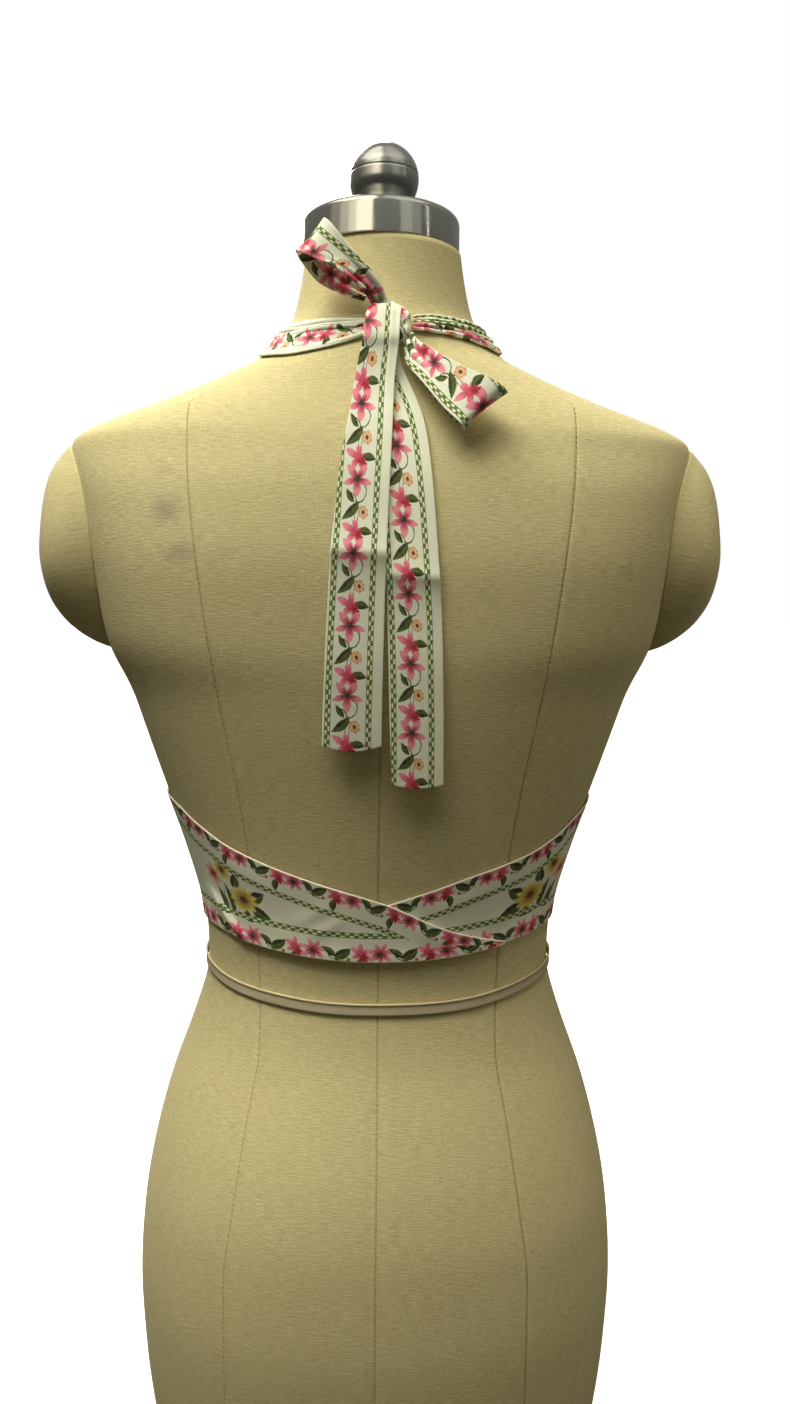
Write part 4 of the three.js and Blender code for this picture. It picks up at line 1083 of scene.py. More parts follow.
# %% The border with its chequered line
def border_group(name, motifs):
    """The border's ink at a place: x along it, y across it from the vine's middle."""
    tree, given = node_group(name, {"Place": "Vector", "Ground": "Color"},
                             {"Ink": "Color"})
    place = add(tree, "ShaderNodeSeparateXYZ", given["Place"])
    along = add(tree, "ShaderNodeMath", place["X"], REPEAT_START + REPEAT, REPEAT_START,
                operation="WRAP")[0]
    local = add(tree, "ShaderNodeCombineXYZ", along, place["Y"])[0]
    off = add(tree, "ShaderNodeMath", place["Y"], operation="ABSOLUTE")[0]
    off = add(tree, "ShaderNodeMath", off, CHECK_AT, operation="SUBTRACT")[0]
    which = add(tree, "ShaderNodeMath", off, 0.0, operation="GREATER_THAN")[0]
    shifted = add(tree, "ShaderNodeMath", which, CHECK_CELL / 2, place["X"],
                  operation="MULTIPLY_ADD")[0]
    cell = add(tree, "ShaderNodeMath", shifted, CHECK_CELL, 0.0, operation="WRAP")[0]
    cell = add(tree, "ShaderNodeMath", cell, CHECK_CELL / 2, operation="SUBTRACT")[0]
    cell = add(tree, "ShaderNodeMath", cell, operation="ABSOLUTE")[0]
    long_way = add(tree, "ShaderNodeMapRange", cell, 1.4, 1.65, 1.0, 0.0)[0]
    off = add(tree, "ShaderNodeMath", off, operation="ABSOLUTE")[0]
    row = add(tree, "ShaderNodeMath", off, 0.85, operation="SUBTRACT")[0]
    row = add(tree, "ShaderNodeMath", row, operation="ABSOLUTE")[0]
    short_way = add(tree, "ShaderNodeMapRange", row, 0.5, 0.7, 1.0, 0.0)[0]
    pale = add(tree, "ShaderNodeMath", long_way, short_way, operation="MULTIPLY")[0]
    check = add(tree, "ShaderNodeMix", at={
        0: pale, 6: linear(INKS["check"]), 7: linear(INKS["check pale"])}, data_type="RGBA")[2]
    band = add(tree, "ShaderNodeMapRange", off, CHECK_HALF - 0.1, CHECK_HALF + 0.1, 1.0, 0.0)[0]
    colour = add(tree, "ShaderNodeMix", at={0: band, 6: given["Ground"], 7: check},
                 data_type="RGBA")[2]
    add(tree, "NodeGroupOutput", paint(tree, local, colour, motifs))
    return tree


TIE_BORDER_GROUP = border_group("tie border", BORDER)
BODY_BORDER_GROUP = border_group("body border", BODY_BORDER)
print("borders:", TIE_BORDER_GROUP.name, "and", BODY_BORDER_GROUP.name)

# %% Borders on the cloth
# The border's size along the upper edge, the hem and the tie, against the chart, and
# how far inside those edges the vine's middle runs.
EDGE_SCALE, HEM_SCALE, TIE_SCALE = 0.90, 0.99, 0.96
VINE_BELOW_EDGE, VINE_ABOVE_HEM, VINE_ON_TIE = 4.6, 5.0, 20.8


def border_map(along, across, start, scale):
    """Places in the border's chart, from distances along it and across from the vine."""
    return np.stack([(along - start) / scale + 0 * across, (across + 0 * along) / scale], -1)

# %% Printed cotton
def printed_cotton(name, edges):
    """The print on its cotton. Each edge named has a map of the border that follows it,
    and a panel with more than one takes the nearest, which mitres the borders where
    they meet. The tie has one border along it."""
    made, tree = material(name)
    panel = add(tree, "ShaderNodeUVMap", uv_map="panel")[0]
    place, nearest = add(tree, "ShaderNodeUVMap", uv_map=edges[0])[0], None
    for edge in edges if len(edges) > 1 else ():
        map_place = add(tree, "ShaderNodeUVMap", uv_map=edge)[0]
        across = add(tree, "ShaderNodeSeparateXYZ", map_place)["Y"]
        away = add(tree, "ShaderNodeMath", across, *(
            (-HEM_SCALE, VINE_ABOVE_HEM) if edge == "hem" else (EDGE_SCALE, VINE_BELOW_EDGE)),
            operation="MULTIPLY_ADD")[0]
        if nearest is None:
            nearest = away
            continue
        nearer = add(tree, "ShaderNodeMath", away, nearest, operation="LESS_THAN")[0]
        place = add(tree, "ShaderNodeMix", at={0: nearer, 4: place, 5: map_place},
                    data_type="VECTOR")[1]
        nearest = add(tree, "ShaderNodeMath", away, nearest, operation="MINIMUM")[0]
    nudge = add(tree, "ShaderNodeTexNoise", at={
        "Vector": place, "Scale": 1.1, "Detail": 3.0})["Color"]
    nudge = add(tree, "ShaderNodeVectorMath", nudge, (0.5, 0.5, 0.5), operation="SUBTRACT")[0]
    nudge = add(tree, "ShaderNodeVectorMath", nudge, (1.1, 1.1, 0), operation="MULTIPLY")[0]
    place = add(tree, "ShaderNodeVectorMath", place, nudge, operation="ADD")[0]
    ground = linear(INKS["cream"])
    if nearest:
        spot = add(tree, "ShaderNodeVectorMath", panel, nudge, operation="ADD")[0]
        spot = add(tree, "ShaderNodeVectorMath", spot, (70, 44, 1), (-80, -40, 0),
                   operation="WRAP")[0]
        bouquet = paint(tree, spot, ground, BOUQUET)
        clear = add(tree, "ShaderNodeMath", nearest, 15.0, operation="GREATER_THAN")[0]
        ground = add(tree, "ShaderNodeMix", at={0: clear, 6: ground, 7: bouquet},
                     data_type="RGBA")[2]
    border = BODY_BORDER_GROUP if nearest else TIE_BORDER_GROUP
    ink = add(tree, "ShaderNodeGroup", place, ground, node_tree=border)[0]
    if nearest:
        fold = add(tree, "ShaderNodeMapRange", nearest, 0.5, 0.9, 1.0, 0.0)[0]
        ink = add(tree, "ShaderNodeMix", at={0: fold, 6: ink, 7: linear("#F0ECDA")},
                  data_type="RGBA")[2]
    cloudy = add(tree, "ShaderNodeTexNoise", at={
        "Vector": panel, "Scale": 0.35, "Detail": 4.0, "Roughness": 0.6})["Fac"]
    faded = add(tree, "ShaderNodeMapRange", cloudy, 0.3, 0.7, 0.0, 0.08)[0]
    ink = add(tree, "ShaderNodeMix", at={0: faded, 6: ink, 7: linear("#E0E2D2")},
              data_type="RGBA")[2]
    weft, warp = (add(tree, "ShaderNodeTexWave", at={
        "Vector": panel, "Scale": 0.5, "Distortion": 0.6, "Detail": 1.0},
        bands_direction=way)["Fac"] for way in "XY")
    weave = add(tree, "ShaderNodeMath", weft, warp, operation="ADD")[0]
    bump = add(tree, "ShaderNodeBump", at={
        "Strength": 0.25, "Distance": 0.0001, "Height": weave})[0]
    shader = add(tree, "ShaderNodeBsdfPrincipled", at={
        "Base Color": ink, "Roughness": 0.82, "IOR": 1.47, "Specular IOR Level": 0.3,
        "Sheen Weight": 0.06, "Sheen Roughness": 0.4, "Normal": bump})[0]
    add(tree, "ShaderNodeOutputMaterial", shader)
    return made


wing_print = printed_cotton("printed_cotton_wings", ["upper", "hem"])
front_print = printed_cotton("printed_cotton_front", ["upper", "neck", "hem"])
tie_print = printed_cotton("printed_cotton_tie", ["upper"])
print("printed cotton for wings, front and tie")

# %% [markdown]
# ## Cloth walls
# A panel here is one layer of light cotton with turned edges, so a thin wall is laid
# on a grid of points and rounded off at its rim. The grid has extra lines close to
# the rim for that. Folds are laid from a table of lines: each is a soft ridge
# or trough, higher in the middle and fading at its ends, with a little waver.

# %% Cloth from a grid
RIM_STEPS = np.array([0, 0.1, 0.3, 0.7, 1.5])


def smoothstep(value, low, high):
    """Rises softly from 0 at low to 1 at high."""
    share = np.clip((value - low) / (high - low), 0, 1)
    return share * share * (3 - 2 * share)


def spread(length, middle):
    """Shares from 0 to 1 along a stretch of that length, closer together at its ends."""
    length = np.atleast_1d(np.asarray(length, float))[:, None]
    start = RIM_STEPS * np.minimum(1, length / 8) / length
    inner = start[:, -1:] + (1 - 2 * start[:, -1:]) * np.linspace(0, 1, middle)
    return np.concatenate([start[:, :-1], inner, 1 - start[:, -2::-1]], 1)


def grid_normals(points, flip):
    around = np.gradient(points, axis=1)
    along = np.gradient(points, axis=0)
    normal = np.cross(around, along) * (-1 if flip else 1)
    return normal / np.maximum(np.linalg.norm(normal, axis=-1, keepdims=True), 1e-9)


def cloth(name, points, maps, wall=1.1, lift=0.0, flip=False):
    """A closed cloth wall. points lie on its inner face, and lift moves it outwards."""
    points = points + grid_normals(points, flip) * np.asarray(lift)[..., None]
    normal = grid_normals(points, flip)
    rows, columns = points.shape[:2]
    along, across = run_length(points, 0), run_length(points, 1)
    rim = np.minimum(np.minimum(along, along[-1] - along),
                     np.minimum(across, across[:, -1:] - across))
    half = wall / 2 * np.sqrt(1 - np.clip(1 - rim / (wall / 2), 0, 1) ** 2)
    middle = points + normal * wall / 2
    outer, inner = middle + normal * half[..., None], middle - normal * half[..., None]
    index = np.arange(rows * columns).reshape(rows, columns)
    inside = np.zeros((rows, columns), bool)
    inside[1:-1, 1:-1] = True
    below = index.copy()
    below[inside] = rows * columns + np.arange(inside.sum())
    cells = quads(rows, columns)
    if flip:
        cells = cells[:, ::-1]
    faces = np.concatenate([cells, below.ravel()[cells][:, ::-1]])
    flat_maps = {key: np.concatenate([place.reshape(-1, 2), place[inside]])
                 for key, place in maps.items()}
    both = np.concatenate([outer.reshape(-1, 3), inner[inside]])
    return make_mesh(name, both, faces, flat_maps)

# %% Folds and edges
def folds(place, rows):
    """How far soft folds raise a flat place: lines x1 y1 to x2 y2, height and width."""
    total = np.zeros(place.shape[:-1])
    for x1, y1, x2, y2, height, width in rows:
        start, step = np.array([x1, y1]), np.array([x2 - x1, y2 - y1])
        length = np.hypot(*step)
        local = place - start
        t = local @ step / length ** 2
        off = (local[..., 0] * step[1] - local[..., 1] * step[0]) / length
        off = off + 0.25 * width * np.sin(t * 5 + x1)
        past = (np.clip(-t, 0, None) + np.clip(t - 1, 0, None)) * length
        fade = 0.3 + 0.7 * np.sin(np.pi * np.clip(t, 0, 1)) ** 0.5
        total += height * fade * np.exp(-(off / width) ** 2 - (past / (1.5 * width)) ** 2)
    return total


def edge_map(points, edge):
    """For every point, how far along the edge line it lies, and how far from it."""
    start, step = edge[:-1], np.diff(edge, axis=0)
    length = np.linalg.norm(step, axis=1)
    run = np.append(0, np.cumsum(length))[:-1]
    local = points.reshape(-1, 1, 3) - start
    t = np.clip((local * step).sum(-1) / length ** 2, 0, 1)
    off = np.linalg.norm(local - t[..., None] * step, axis=-1)
    best = np.argmin(off, 1)
    each = np.arange(len(best))
    along = run[best] + t[each, best] * length[best]
    return (np.stack([along, off[each, best]], -1)).reshape(*points.shape[:-1], 2)

# %% [markdown]
# ## Back wings
# Each side of the top runs round to the back as a wing, narrows, crosses the other one
# and ends in a point at the hem. The left wing lies over the right one. Both are cut
# on a curve, so the upper edge lies flat in a shallow V, and the border follows it.
# Near the left side a pleat of spare cloth stands up.

# %% Edges and folds of the wings
WING_EDGE = table("turn left right", """
    -4   506   505
    14   504   500
    26   499.5 493
    35   490.5 483.5
    45   482   475
    56   473   468
    66   465.5 462
    77   457.5 453.5
    86   451   446.5
    92   445.5 441
    97   440   436
    103  433   430
    111  426   424.5
    120  420.5 420.5
    130  415.5 416""")
HEM_SIDE, HEM_DIP, SIDE_SEAM = 418, 11, -4
SIDE_SEAM_TOP = 506
EDGE_BAND, TURNED_HEM = 9, 8    # mm: where ripples die down, and the doubled hem
LAP_FROM_TO = (35, 49)          # degrees over which the upper wing climbs on the other
CLOTH_GAP, FRONT_GAP = 0.8, 1.3
# Folds by distance from the centre back and height.
LEFT_FOLDS = [
    (130, 441, 98, 417, 3.4, 2.3), (138, 441, 116, 424, 1.0, 3.0), (127, 456, 108, 438, -0.5, 4),
    (43, 424, 23, 435, 0.7, 3.2), (57, 431, 29, 443, 0.45, 4), (85, 428, 60, 421, 0.4, 5),
    (100, 470, 70, 452, 0.35, 5), (-20, 430, -45, 420, 0.4, 4), (160, 480, 140, 470, -0.5, 5),
]
RIGHT_FOLDS = [
    (70, 455, 40, 437, 0.4, 5), (100, 440, 75, 428, 0.4, 4), (145, 470, 120, 450, 0.5, 5),
    (150, 438, 128, 426, 0.7, 4), (115, 425, 95, 418, 0.5, 4),
]
print("the left wing has", len(LEFT_FOLDS), "folds, the right", len(RIGHT_FOLDS))

# %% Wings
def hem_height(angle):
    return HEM_SIDE - HEM_DIP * np.maximum(0, np.sin(np.radians(angle))) ** 3


def back_wing(name, key, over, wing_folds, phase, flower, larger):
    """over lifts the wing off the one below. phase shifts the borders of its upper edge
    and hem, and flower and larger set the bouquets' middle and size."""
    mirror = key == "right"
    ends = WING_EDGE["turn"][[0, -1]]
    angles = ends[0] + 0.15 + (ends[1] - ends[0] - 0.15) * spread(290, 118)[0]
    top, hem = curve(WING_EDGE["turn"], WING_EDGE[key])(angles), hem_height(angles)
    heights = hem[:, None] + (top - hem)[:, None] * spread(top - hem, 30)
    lap = over * smoothstep(angles, *LAP_FROM_TO)
    points = on_form(angles[:, None], heights, CLOTH_GAP + lap[:, None] + 0 * heights)
    half_way = points[:, points.shape[1] // 2]
    along = run_length(half_way, 0)
    along = np.interp(90, angles, along) - along
    panel = np.stack([along[:, None] + 0 * heights, heights], -1)
    lift = folds(panel, wing_folds)
    rim = (np.clip((top[:, None] - heights) / EDGE_BAND, 0, 1)
           * np.clip((heights - hem[:, None]) / EDGE_BAND, 0, 1))
    ripple = 0.18 * np.sin(panel[..., 0] / 7.3 + heights / 23) * np.sin(panel[..., 0] / 19 + 1.7)
    turned_edge = 0.22 * (heights - hem[:, None] < TURNED_HEM)
    lift = np.maximum(lift + ripple * (0.4 + 0.6 * rim), -0.3) + turned_edge
    edge, bottom = edge_map(points, points[:, -1]), edge_map(points, points[:, 0])
    maps = {
        "upper": border_map(edge[..., 0], edge[..., 1] - VINE_BELOW_EDGE, phase[0], EDGE_SCALE),
        "hem": border_map(bottom[..., 0], VINE_ABOVE_HEM - bottom[..., 1], phase[1], HEM_SCALE),
        "panel": (panel - flower) / larger,
    }
    if mirror:
        points = points * (-1, 1, 1)
    print(name, "upper edge", round(float(run_length(points[:, -1], 0)[-1])), "mm long")
    return cloth(name, points, maps, lift=lift, flip=not mirror)

# %% Both wings
wing_right = back_wing("wing_right_cotton", "right", 0, RIGHT_FOLDS,
                       phase=(20, -15), flower=(109, 444), larger=(1.3, 1.05))
wing_left = back_wing("wing_left_cotton", "left", 1.9, LEFT_FOLDS,
                      phase=(1, 3), flower=(93, 443), larger=(1.05, 1.0))
hand_over(wing_right, wing_print, "printed_cotton", "wing_right")
hand_over(wing_left, wing_print, "printed_cotton", "wing_left")

# %% [markdown]
# ## Tails of the bow
# Both tails are the ends of one long tie, 36 mm wide, sewn double and pressed. They
# fall from the knot, spread a little, and hang clear where the back curves in. Each
# has a sharp cross crease, where the tie lay folded.

# %% Charts of the tails
TIE_WIDTH = 36.5
LEFT_TAIL = table("z left right clear", """
    822 6.5  -8    5
    823.4 8  -10   9
    822.6 9  -10.8 12.6
    820 9.5  -11   15
    816 10.2 -10.8 16.4
    808 11   -10.5 16.4
    799 12   -10.2 15.6
    791 13.5 -9.6  12
    781 15.5 -8.5  9
    769 17.5 -7.5  6.6
    757 19   -7    5.4
    742 21.4 -6.5  5
    725 24.2 -5.8  4.4
    690 28   -4.2  4
    660 30.5 -3.2  4.3
    625 32.2 -2.2  5
    587 33.8 -1.5  6.6
    548 35   -1    9""")
RIGHT_TAIL = table("z left right clear", """
    794.7 6  -9.5  4.3
    782 5    -12   1.8
    769 4    -17   1.4
    757 3    -22   1.4
    742 2    -26.4 1.4
    725 1    -29   1.4
    690 -1   -32.4 1.4
    656 -3   -34.8 1.6
    620 -4.2 -37   2.8
    585 -5.2 -38   5
    555 -6.2 -38.6 7.6
    524 -7.7 -38.8 10.5""")
TAIL_START = -4                 # where the chart's start comes, from a tail's cut end
CREASE_HEIGHT, CREST_AT = 3.3, 0.57
# Pleats at a tail's top: height, share of the width, and how they spread per mm.
TAIL_PLEATS = [(0.7, 0.26, -1 / 600), (-0.7, 0.36, -1 / 500), (0.5, 0.78, 1 / 500)]
print("the tails hang to", LEFT_TAIL["z"][-1], "and", RIGHT_TAIL["z"][-1], "mm")

# %% Tails
def tail(name, rows, crease_at, gather, sag, droops):
    """A tail. gather says over how many millimetres from the top it opens to its width,
    and the print keeps its size, so a narrow top shows only part of it. The cut end
    sags by sag in the middle. The border is set out from that end. droops says how far
    the corners droop where the tail turns over the knot."""
    station = np.append(0, np.cumsum(np.hypot(np.diff(rows["z"]), np.diff(rows["clear"]))))
    along = station[-1] * spread(station[-1], 150)[0]
    heights, left, right, clear = (
        curve(station, rows[key])(along) for key in ("z", "left", "right", "clear"))
    top = heights[0]
    share = spread(30, 22)[0]
    x = right[:, None] + (left - right)[:, None] * share
    clear = clear[:, None] - 0.1 + 0 * x
    down = top - heights[:, None]
    below = crease_at + 2.0 * (share - 0.5) - heights[:, None]
    crease = CREASE_HEIGHT * np.exp(-np.hypot(below, 1.0) / np.where(below > 0, 7, 12))
    wave = 0.5 * np.sin(down / 41 + 2 * share) * np.clip(down / 60, 0, 1)
    cup = 0.7 * (2 * share - 1) ** 2 * np.sin(down / 57 + 0.8)
    pleats = np.exp(-down / gather) * sum(
        height * np.exp(-((share - at - slant * down) / 0.05) ** 2)
        for height, at, slant in TAIL_PLEATS)
    z = heights[:, None] + 0 * x
    points = np.stack([x, back_depth(x, heights[:, None]) + clear, z], -1)
    off_crest = share - CREST_AT
    droop = np.where(off_crest < 0, 3 * (off_crest / CREST_AT) ** 2,
                     4.5 * (off_crest / (1 - CREST_AT)) ** 2)
    points[..., 2] -= droops * (0.8 + droop) * (1 - smoothstep(along[:, None], 8, 34))
    hangs = 1 - smoothstep(heights[:, None], heights[-1], heights[-1] + 30)
    points[..., 2] -= sag * hangs * (1 - (2 * share - 1) ** 2)
    lift = np.maximum(crease + wave + cup, -0.6) + pleats
    run = run_length(points, 0)[:, [len(share) // 2]]
    stretch = 1 - 0.10 * smoothstep(heights, 600, 710) - 0.16 * smoothstep(heights, 690, 785)
    run = np.append(0, np.cumsum(np.diff(run[:, 0]) * stretch[1:]))[:, None]
    run = run - run[-1]
    width = (left - right)[:, None]
    shown = np.minimum(1, width / 33)
    from_edge = share * TIE_WIDTH * shown
    maps = {"upper": border_map(run, VINE_ON_TIE - from_edge, TAIL_START, TIE_SCALE),
            "panel": np.stack([from_edge, run + 0 * x], -1)}
    print(name, round(float(-run[0, 0])), "mm of print long")
    return cloth(name, points, maps, wall=1.2, lift=lift)

# %% Both tails
tail_right = tail("tail_right_cotton", RIGHT_TAIL, 650, gather=40, sag=2, droops=0)
tail_left = tail("tail_left_cotton", LEFT_TAIL, 664, gather=45, sag=3.4, droops=1)
hand_over(tail_right, tie_print, "printed_cotton", "tail_right")
hand_over(tail_left, tie_print, "printed_cotton", "tail_left")

# %% [markdown]
# ## Loops of the bow
# A loop is the same tie, going out from the knot and back again. It is gathered
# tightly at the knot, so three or four pleats run out from there and fade before the
# bend, and only part of its width is in view near the knot. The print still has its
# real size: the tables say how far in from the tie's plain edge the loop's edge lies.

# %% Charts of the loops
UPPER_LOOP = table("upper_x upper_y upper_z lower_x lower_y lower_z hidden", """
    -4   70.5 822.3  6.5  70.5 822.3 13
    3.5  78   836.5  13   78   829   11
    15   81   848    27   80   839.5 7
    26   80   861    41   78   846.5 2.5
    34   76   871    52   74   852.5 0.6
    36.5 70   874    55   68   854.5 0.4
    34   64.5 870.5  52.5 62   850.5 1
    26   64   858    41   61   837.5 5
    15   65.5 844    26   64   830   8
    4    68   831    12   67.5 825.5 12""")
LOWER_LOOP = table("upper_x upper_y upper_z lower_x lower_y lower_z hidden", """
    -19   78.5 802  -13   84    791.5 22
    -21.5 85    797   -14   88    784   18.5
    -33   93    788.5 -24   100   768.5 15
    -50   102   777.5 -36   108.5 752.5 13
    -71   108.5 766   -46.5 114   741.5 7.5
    -75.5 104.5 763   -48.5 111   739   4
    -71   99.5  765   -47   107.5 741.5 1
    -50   92.5  776.5 -36.5 103   752.5 6
    -32   85.5  787   -25   94.5  768   11
    -21   80    796   -15.5 86    783.5 18""")
print("loops charted at", len(UPPER_LOOP["hidden"]), "stations each")

# %% Loops
def bow_loop(name, rows, flip, direction, phase, pleats, bellied):
    """Each pleat: its height, the share of the width where it starts at the knot, how it
    slants from there, and its breadth. bellied says how far the middle sinks or swells."""
    edges = [np.stack([rows[edge + axis] for axis in ("_x", "_y", "_z")], -1)
             for edge in ("upper", "lower")]
    middle = (edges[0] + edges[1]) / 2
    station = np.append(0, np.cumsum(np.linalg.norm(np.diff(middle, axis=0), axis=1)))
    place = station[-1] * spread(station[-1], 120)[0]
    upper, lower = (np.stack([curve(station, edge[:, i])(place) for i in range(3)], -1)
                    for edge in edges)
    share = spread(30, 26)[0]
    points = upper[:, None] + (lower - upper)[:, None] * share[:, None]
    width = np.linalg.norm(lower - upper, axis=-1)[:, None]
    from_knot = np.minimum(place, place[-1] - place)[:, None]
    gather = np.exp(-(from_knot / 26) ** 1.6)
    folded = sum(height * np.exp(-((share - at - slant * from_knot) / thin) ** 2)
                 for height, at, slant, thin in pleats)
    belly = bellied * (1 - (2 * share - 1) ** 2) * (1 - gather)
    wander = 0.35 * np.sin(place[:, None] / 9 + 4 * share) * (1 - gather)
    run = run_length(points, 0)[:, [len(share) // 2]]
    hidden = curve(station, rows["hidden"])(place)[:, None]
    from_edge = hidden + share * np.minimum(width, TIE_WIDTH - hidden)
    maps = {"upper": border_map(direction * run, VINE_ON_TIE - from_edge, -phase, TIE_SCALE),
            "panel": np.stack([from_edge, run + 0 * from_edge], -1)}
    print(name, round(float(run[-1, 0])), "mm long")
    return cloth(name, points, maps, lift=gather * folded + belly + wander, flip=flip)

# %% Both loops
loop_upper = bow_loop("bow_loop_upper_cotton", UPPER_LOOP, True, -1, 23, [
    (2.0, 0.16, 0.002, 0.08), (-1.2, 0.34, 0.001, 0.07), (1.7, 0.56, 0.004, 0.07),
    (-1.0, 0.74, 0.002, 0.06), (1.4, 0.9, 0.001, 0.05)], -1.2)
loop_lower = bow_loop("bow_loop_lower_cotton", LOWER_LOOP, False, 1, -18, [
    (1.8, 0.12, 0.002, 0.08), (-1.2, 0.32, 0.002, 0.07), (1.8, 0.5, 0.002, 0.07),
    (-0.6, 0.68, 0, 0.06)], -1.0)
hand_over(loop_upper, tie_print, "printed_cotton", "bow_loop_upper")
hand_over(loop_lower, tie_print, "printed_cotton", "bow_loop_lower")

# %% [markdown]
# ## Knot
# The knot is the tie drawn tight round itself, so its folds run up and down, pinched
# at both ends. The left tail folds over its top and hides most of it.

# %% Knot
KNOT = dict(x=-4.2, z=808.5, half_width=13.6, half_height=13, edge=8, rise=14.5)
KNOT_ROUND = 96


def bow_knot():
    turn = np.radians(np.linspace(0, 360, KNOT_ROUND + 1)[:-1])
    across = np.sign(np.cos(turn)) * abs(np.cos(turn)) ** 0.7
    upright = np.sign(np.sin(turn)) * abs(np.sin(turn)) ** 0.7
    rings = [(reach, 0) for reach in (0.35, 0.7, 0.92, 0.99)]
    rings += [(1.0, share) for share in np.linspace(0.1, 0.9, 6)]
    rings += [(reach, 1.0) for reach in (1.0, 0.985, 0.95, 0.88, 0.78, 0.64, 0.48, 0.3, 0.14)]
    rows = []
    for reach, raised in rings:
        x = KNOT["x"] - KNOT["half_width"] * reach * across
        z = KNOT["z"] + KNOT["half_height"] * reach * upright
        dome = KNOT["edge"] + (KNOT["rise"] - KNOT["edge"]) * math.sqrt(1 - reach ** 3)
        pinch = 1 - 0.6 * abs(z - KNOT["z"]) / KNOT["half_height"]
        fanned = (z - KNOT["z"] + 3) / (1 + 0.06 * (KNOT["x"] - x)) + 0.25 * (x - KNOT["x"])
        fold = 1.7 * np.abs(np.sin(fanned * 0.52 + 0.5 * np.sin(x / 3))) ** 0.6 - 0.9
        fold += 0.5 * np.sin((x - KNOT["x"]) * 1.5 + 2.2 * np.sin((z - KNOT["z"]) / 7)) * pinch
        bulge = (dome + fold * min(1, 2 - 2 * reach + 0.6)) * raised
        rows.append(np.stack([x, back_depth(x, z) + CLOTH_GAP + 0.2 + bulge, z], -1))
    points = np.array(rows)
    flat = points.reshape(-1, 3)
    maps = {"upper": np.stack([flat[:, 2] * 1.5 + 5, (flat[:, 0] + 12) * 1.9 - 8
                               + 5 * np.sin(flat[:, 2] / 3)], -1),
            "panel": flat[:, ::2]}
    return make_mesh("bow_knot_cotton", points, closed_tube(len(rows), KNOT_ROUND), maps)


knot = bow_knot()
hand_over(knot, tie_print, "printed_cotton", "bow_knot")

# %% [markdown]
# ## Neck straps
# From the knot each strap runs round the neck and over the shoulder to the front. It
# is crushed together behind the neck and opens as it comes forward. Its pleats are
# lengthwise ridges with one steep side. Where cloth is hidden inside a pleat, the
# print jumps, so the tables also give what part of the tie's width shows.

# %% Charts of the straps
STRAP_ROWS = table("face inner_x inner_z outer_x outer_z", """
    1  9.7  813.5 9.7  802.5
    1  22   814.5 23   798
    1  38   816   40   794
    1  52   817   60   791.5
    1  60.5 819   76   793.5
    0  64   822   80   802
    -1 66   811   90   791
    -1 66   797   94   779
    -1 65   777   96.5 762
    -1 64   755   98   744
    -1 62.5 730   99   724
    -1 61   702.4 100  700.4""")
# Share of the width from the lower edge, and the place on the tie it shows.
LEFT_SHOWN = table("share on_tie", """
    0    0.3
    0.06 3.4
    0.08 11
    0.68 30
    0.71 5.0
    1    0.4""")
RIGHT_SHOWN = table("share on_tie", """
    0    14
    0.4  27
    0.43 11.5
    0.70 6.0
    0.73 35.6
    0.88 31.6
    1    29""")
# Each pleat: share of the width, how much it wanders, height, and widths of its sides.
LEFT_PLEATS = [(0.11, 0.02, 1.2, 0.08, 0.02), (0.62, 0.03, 1.6, 0.02, 0.10),
               (0.74, -0.02, 1.3, 0.02, 0.08), (0.87, 0.02, 1.1, 0.02, 0.07),
               (0.4, 0.04, 0.5, 0.12, 0.12)]
RIGHT_PLEATS = [(0.15, -0.03, 1.6, 0.09, 0.02), (0.36, 0.06, 1.1, 0.03, 0.07),
                (0.52, 0.03, 1.8, 0.02, 0.09), (0.72, -0.05, 0.9, 0.04, 0.05),
                (0.84, 0.03, 1.4, 0.02, 0.08), (0.5, -0.05, 0.9, 0.05, 0.03)]
# How much higher the right strap's edges run, row by row.
RIGHT_HIGHER = {"inner_z": [2, 2.8, 3.2, 2.4, 1, 0, 0, 0, 0, 0, 0, 0],
                "outer_z": [4, 8, 11.5, 12, 7, 2.5, 0, 0, 0, 0, 0, 0]}
# Millimetres from the knot: the pleats stand full, then fade, and then the width opens.
PLEATS_FULL, PLEATS_FADE, WIDTH_HIDDEN, WIDTH_OPENS = 95, 90, 120, 60
print(len(LEFT_PLEATS), "pleats on the left strap,", len(RIGHT_PLEATS), "on the right")

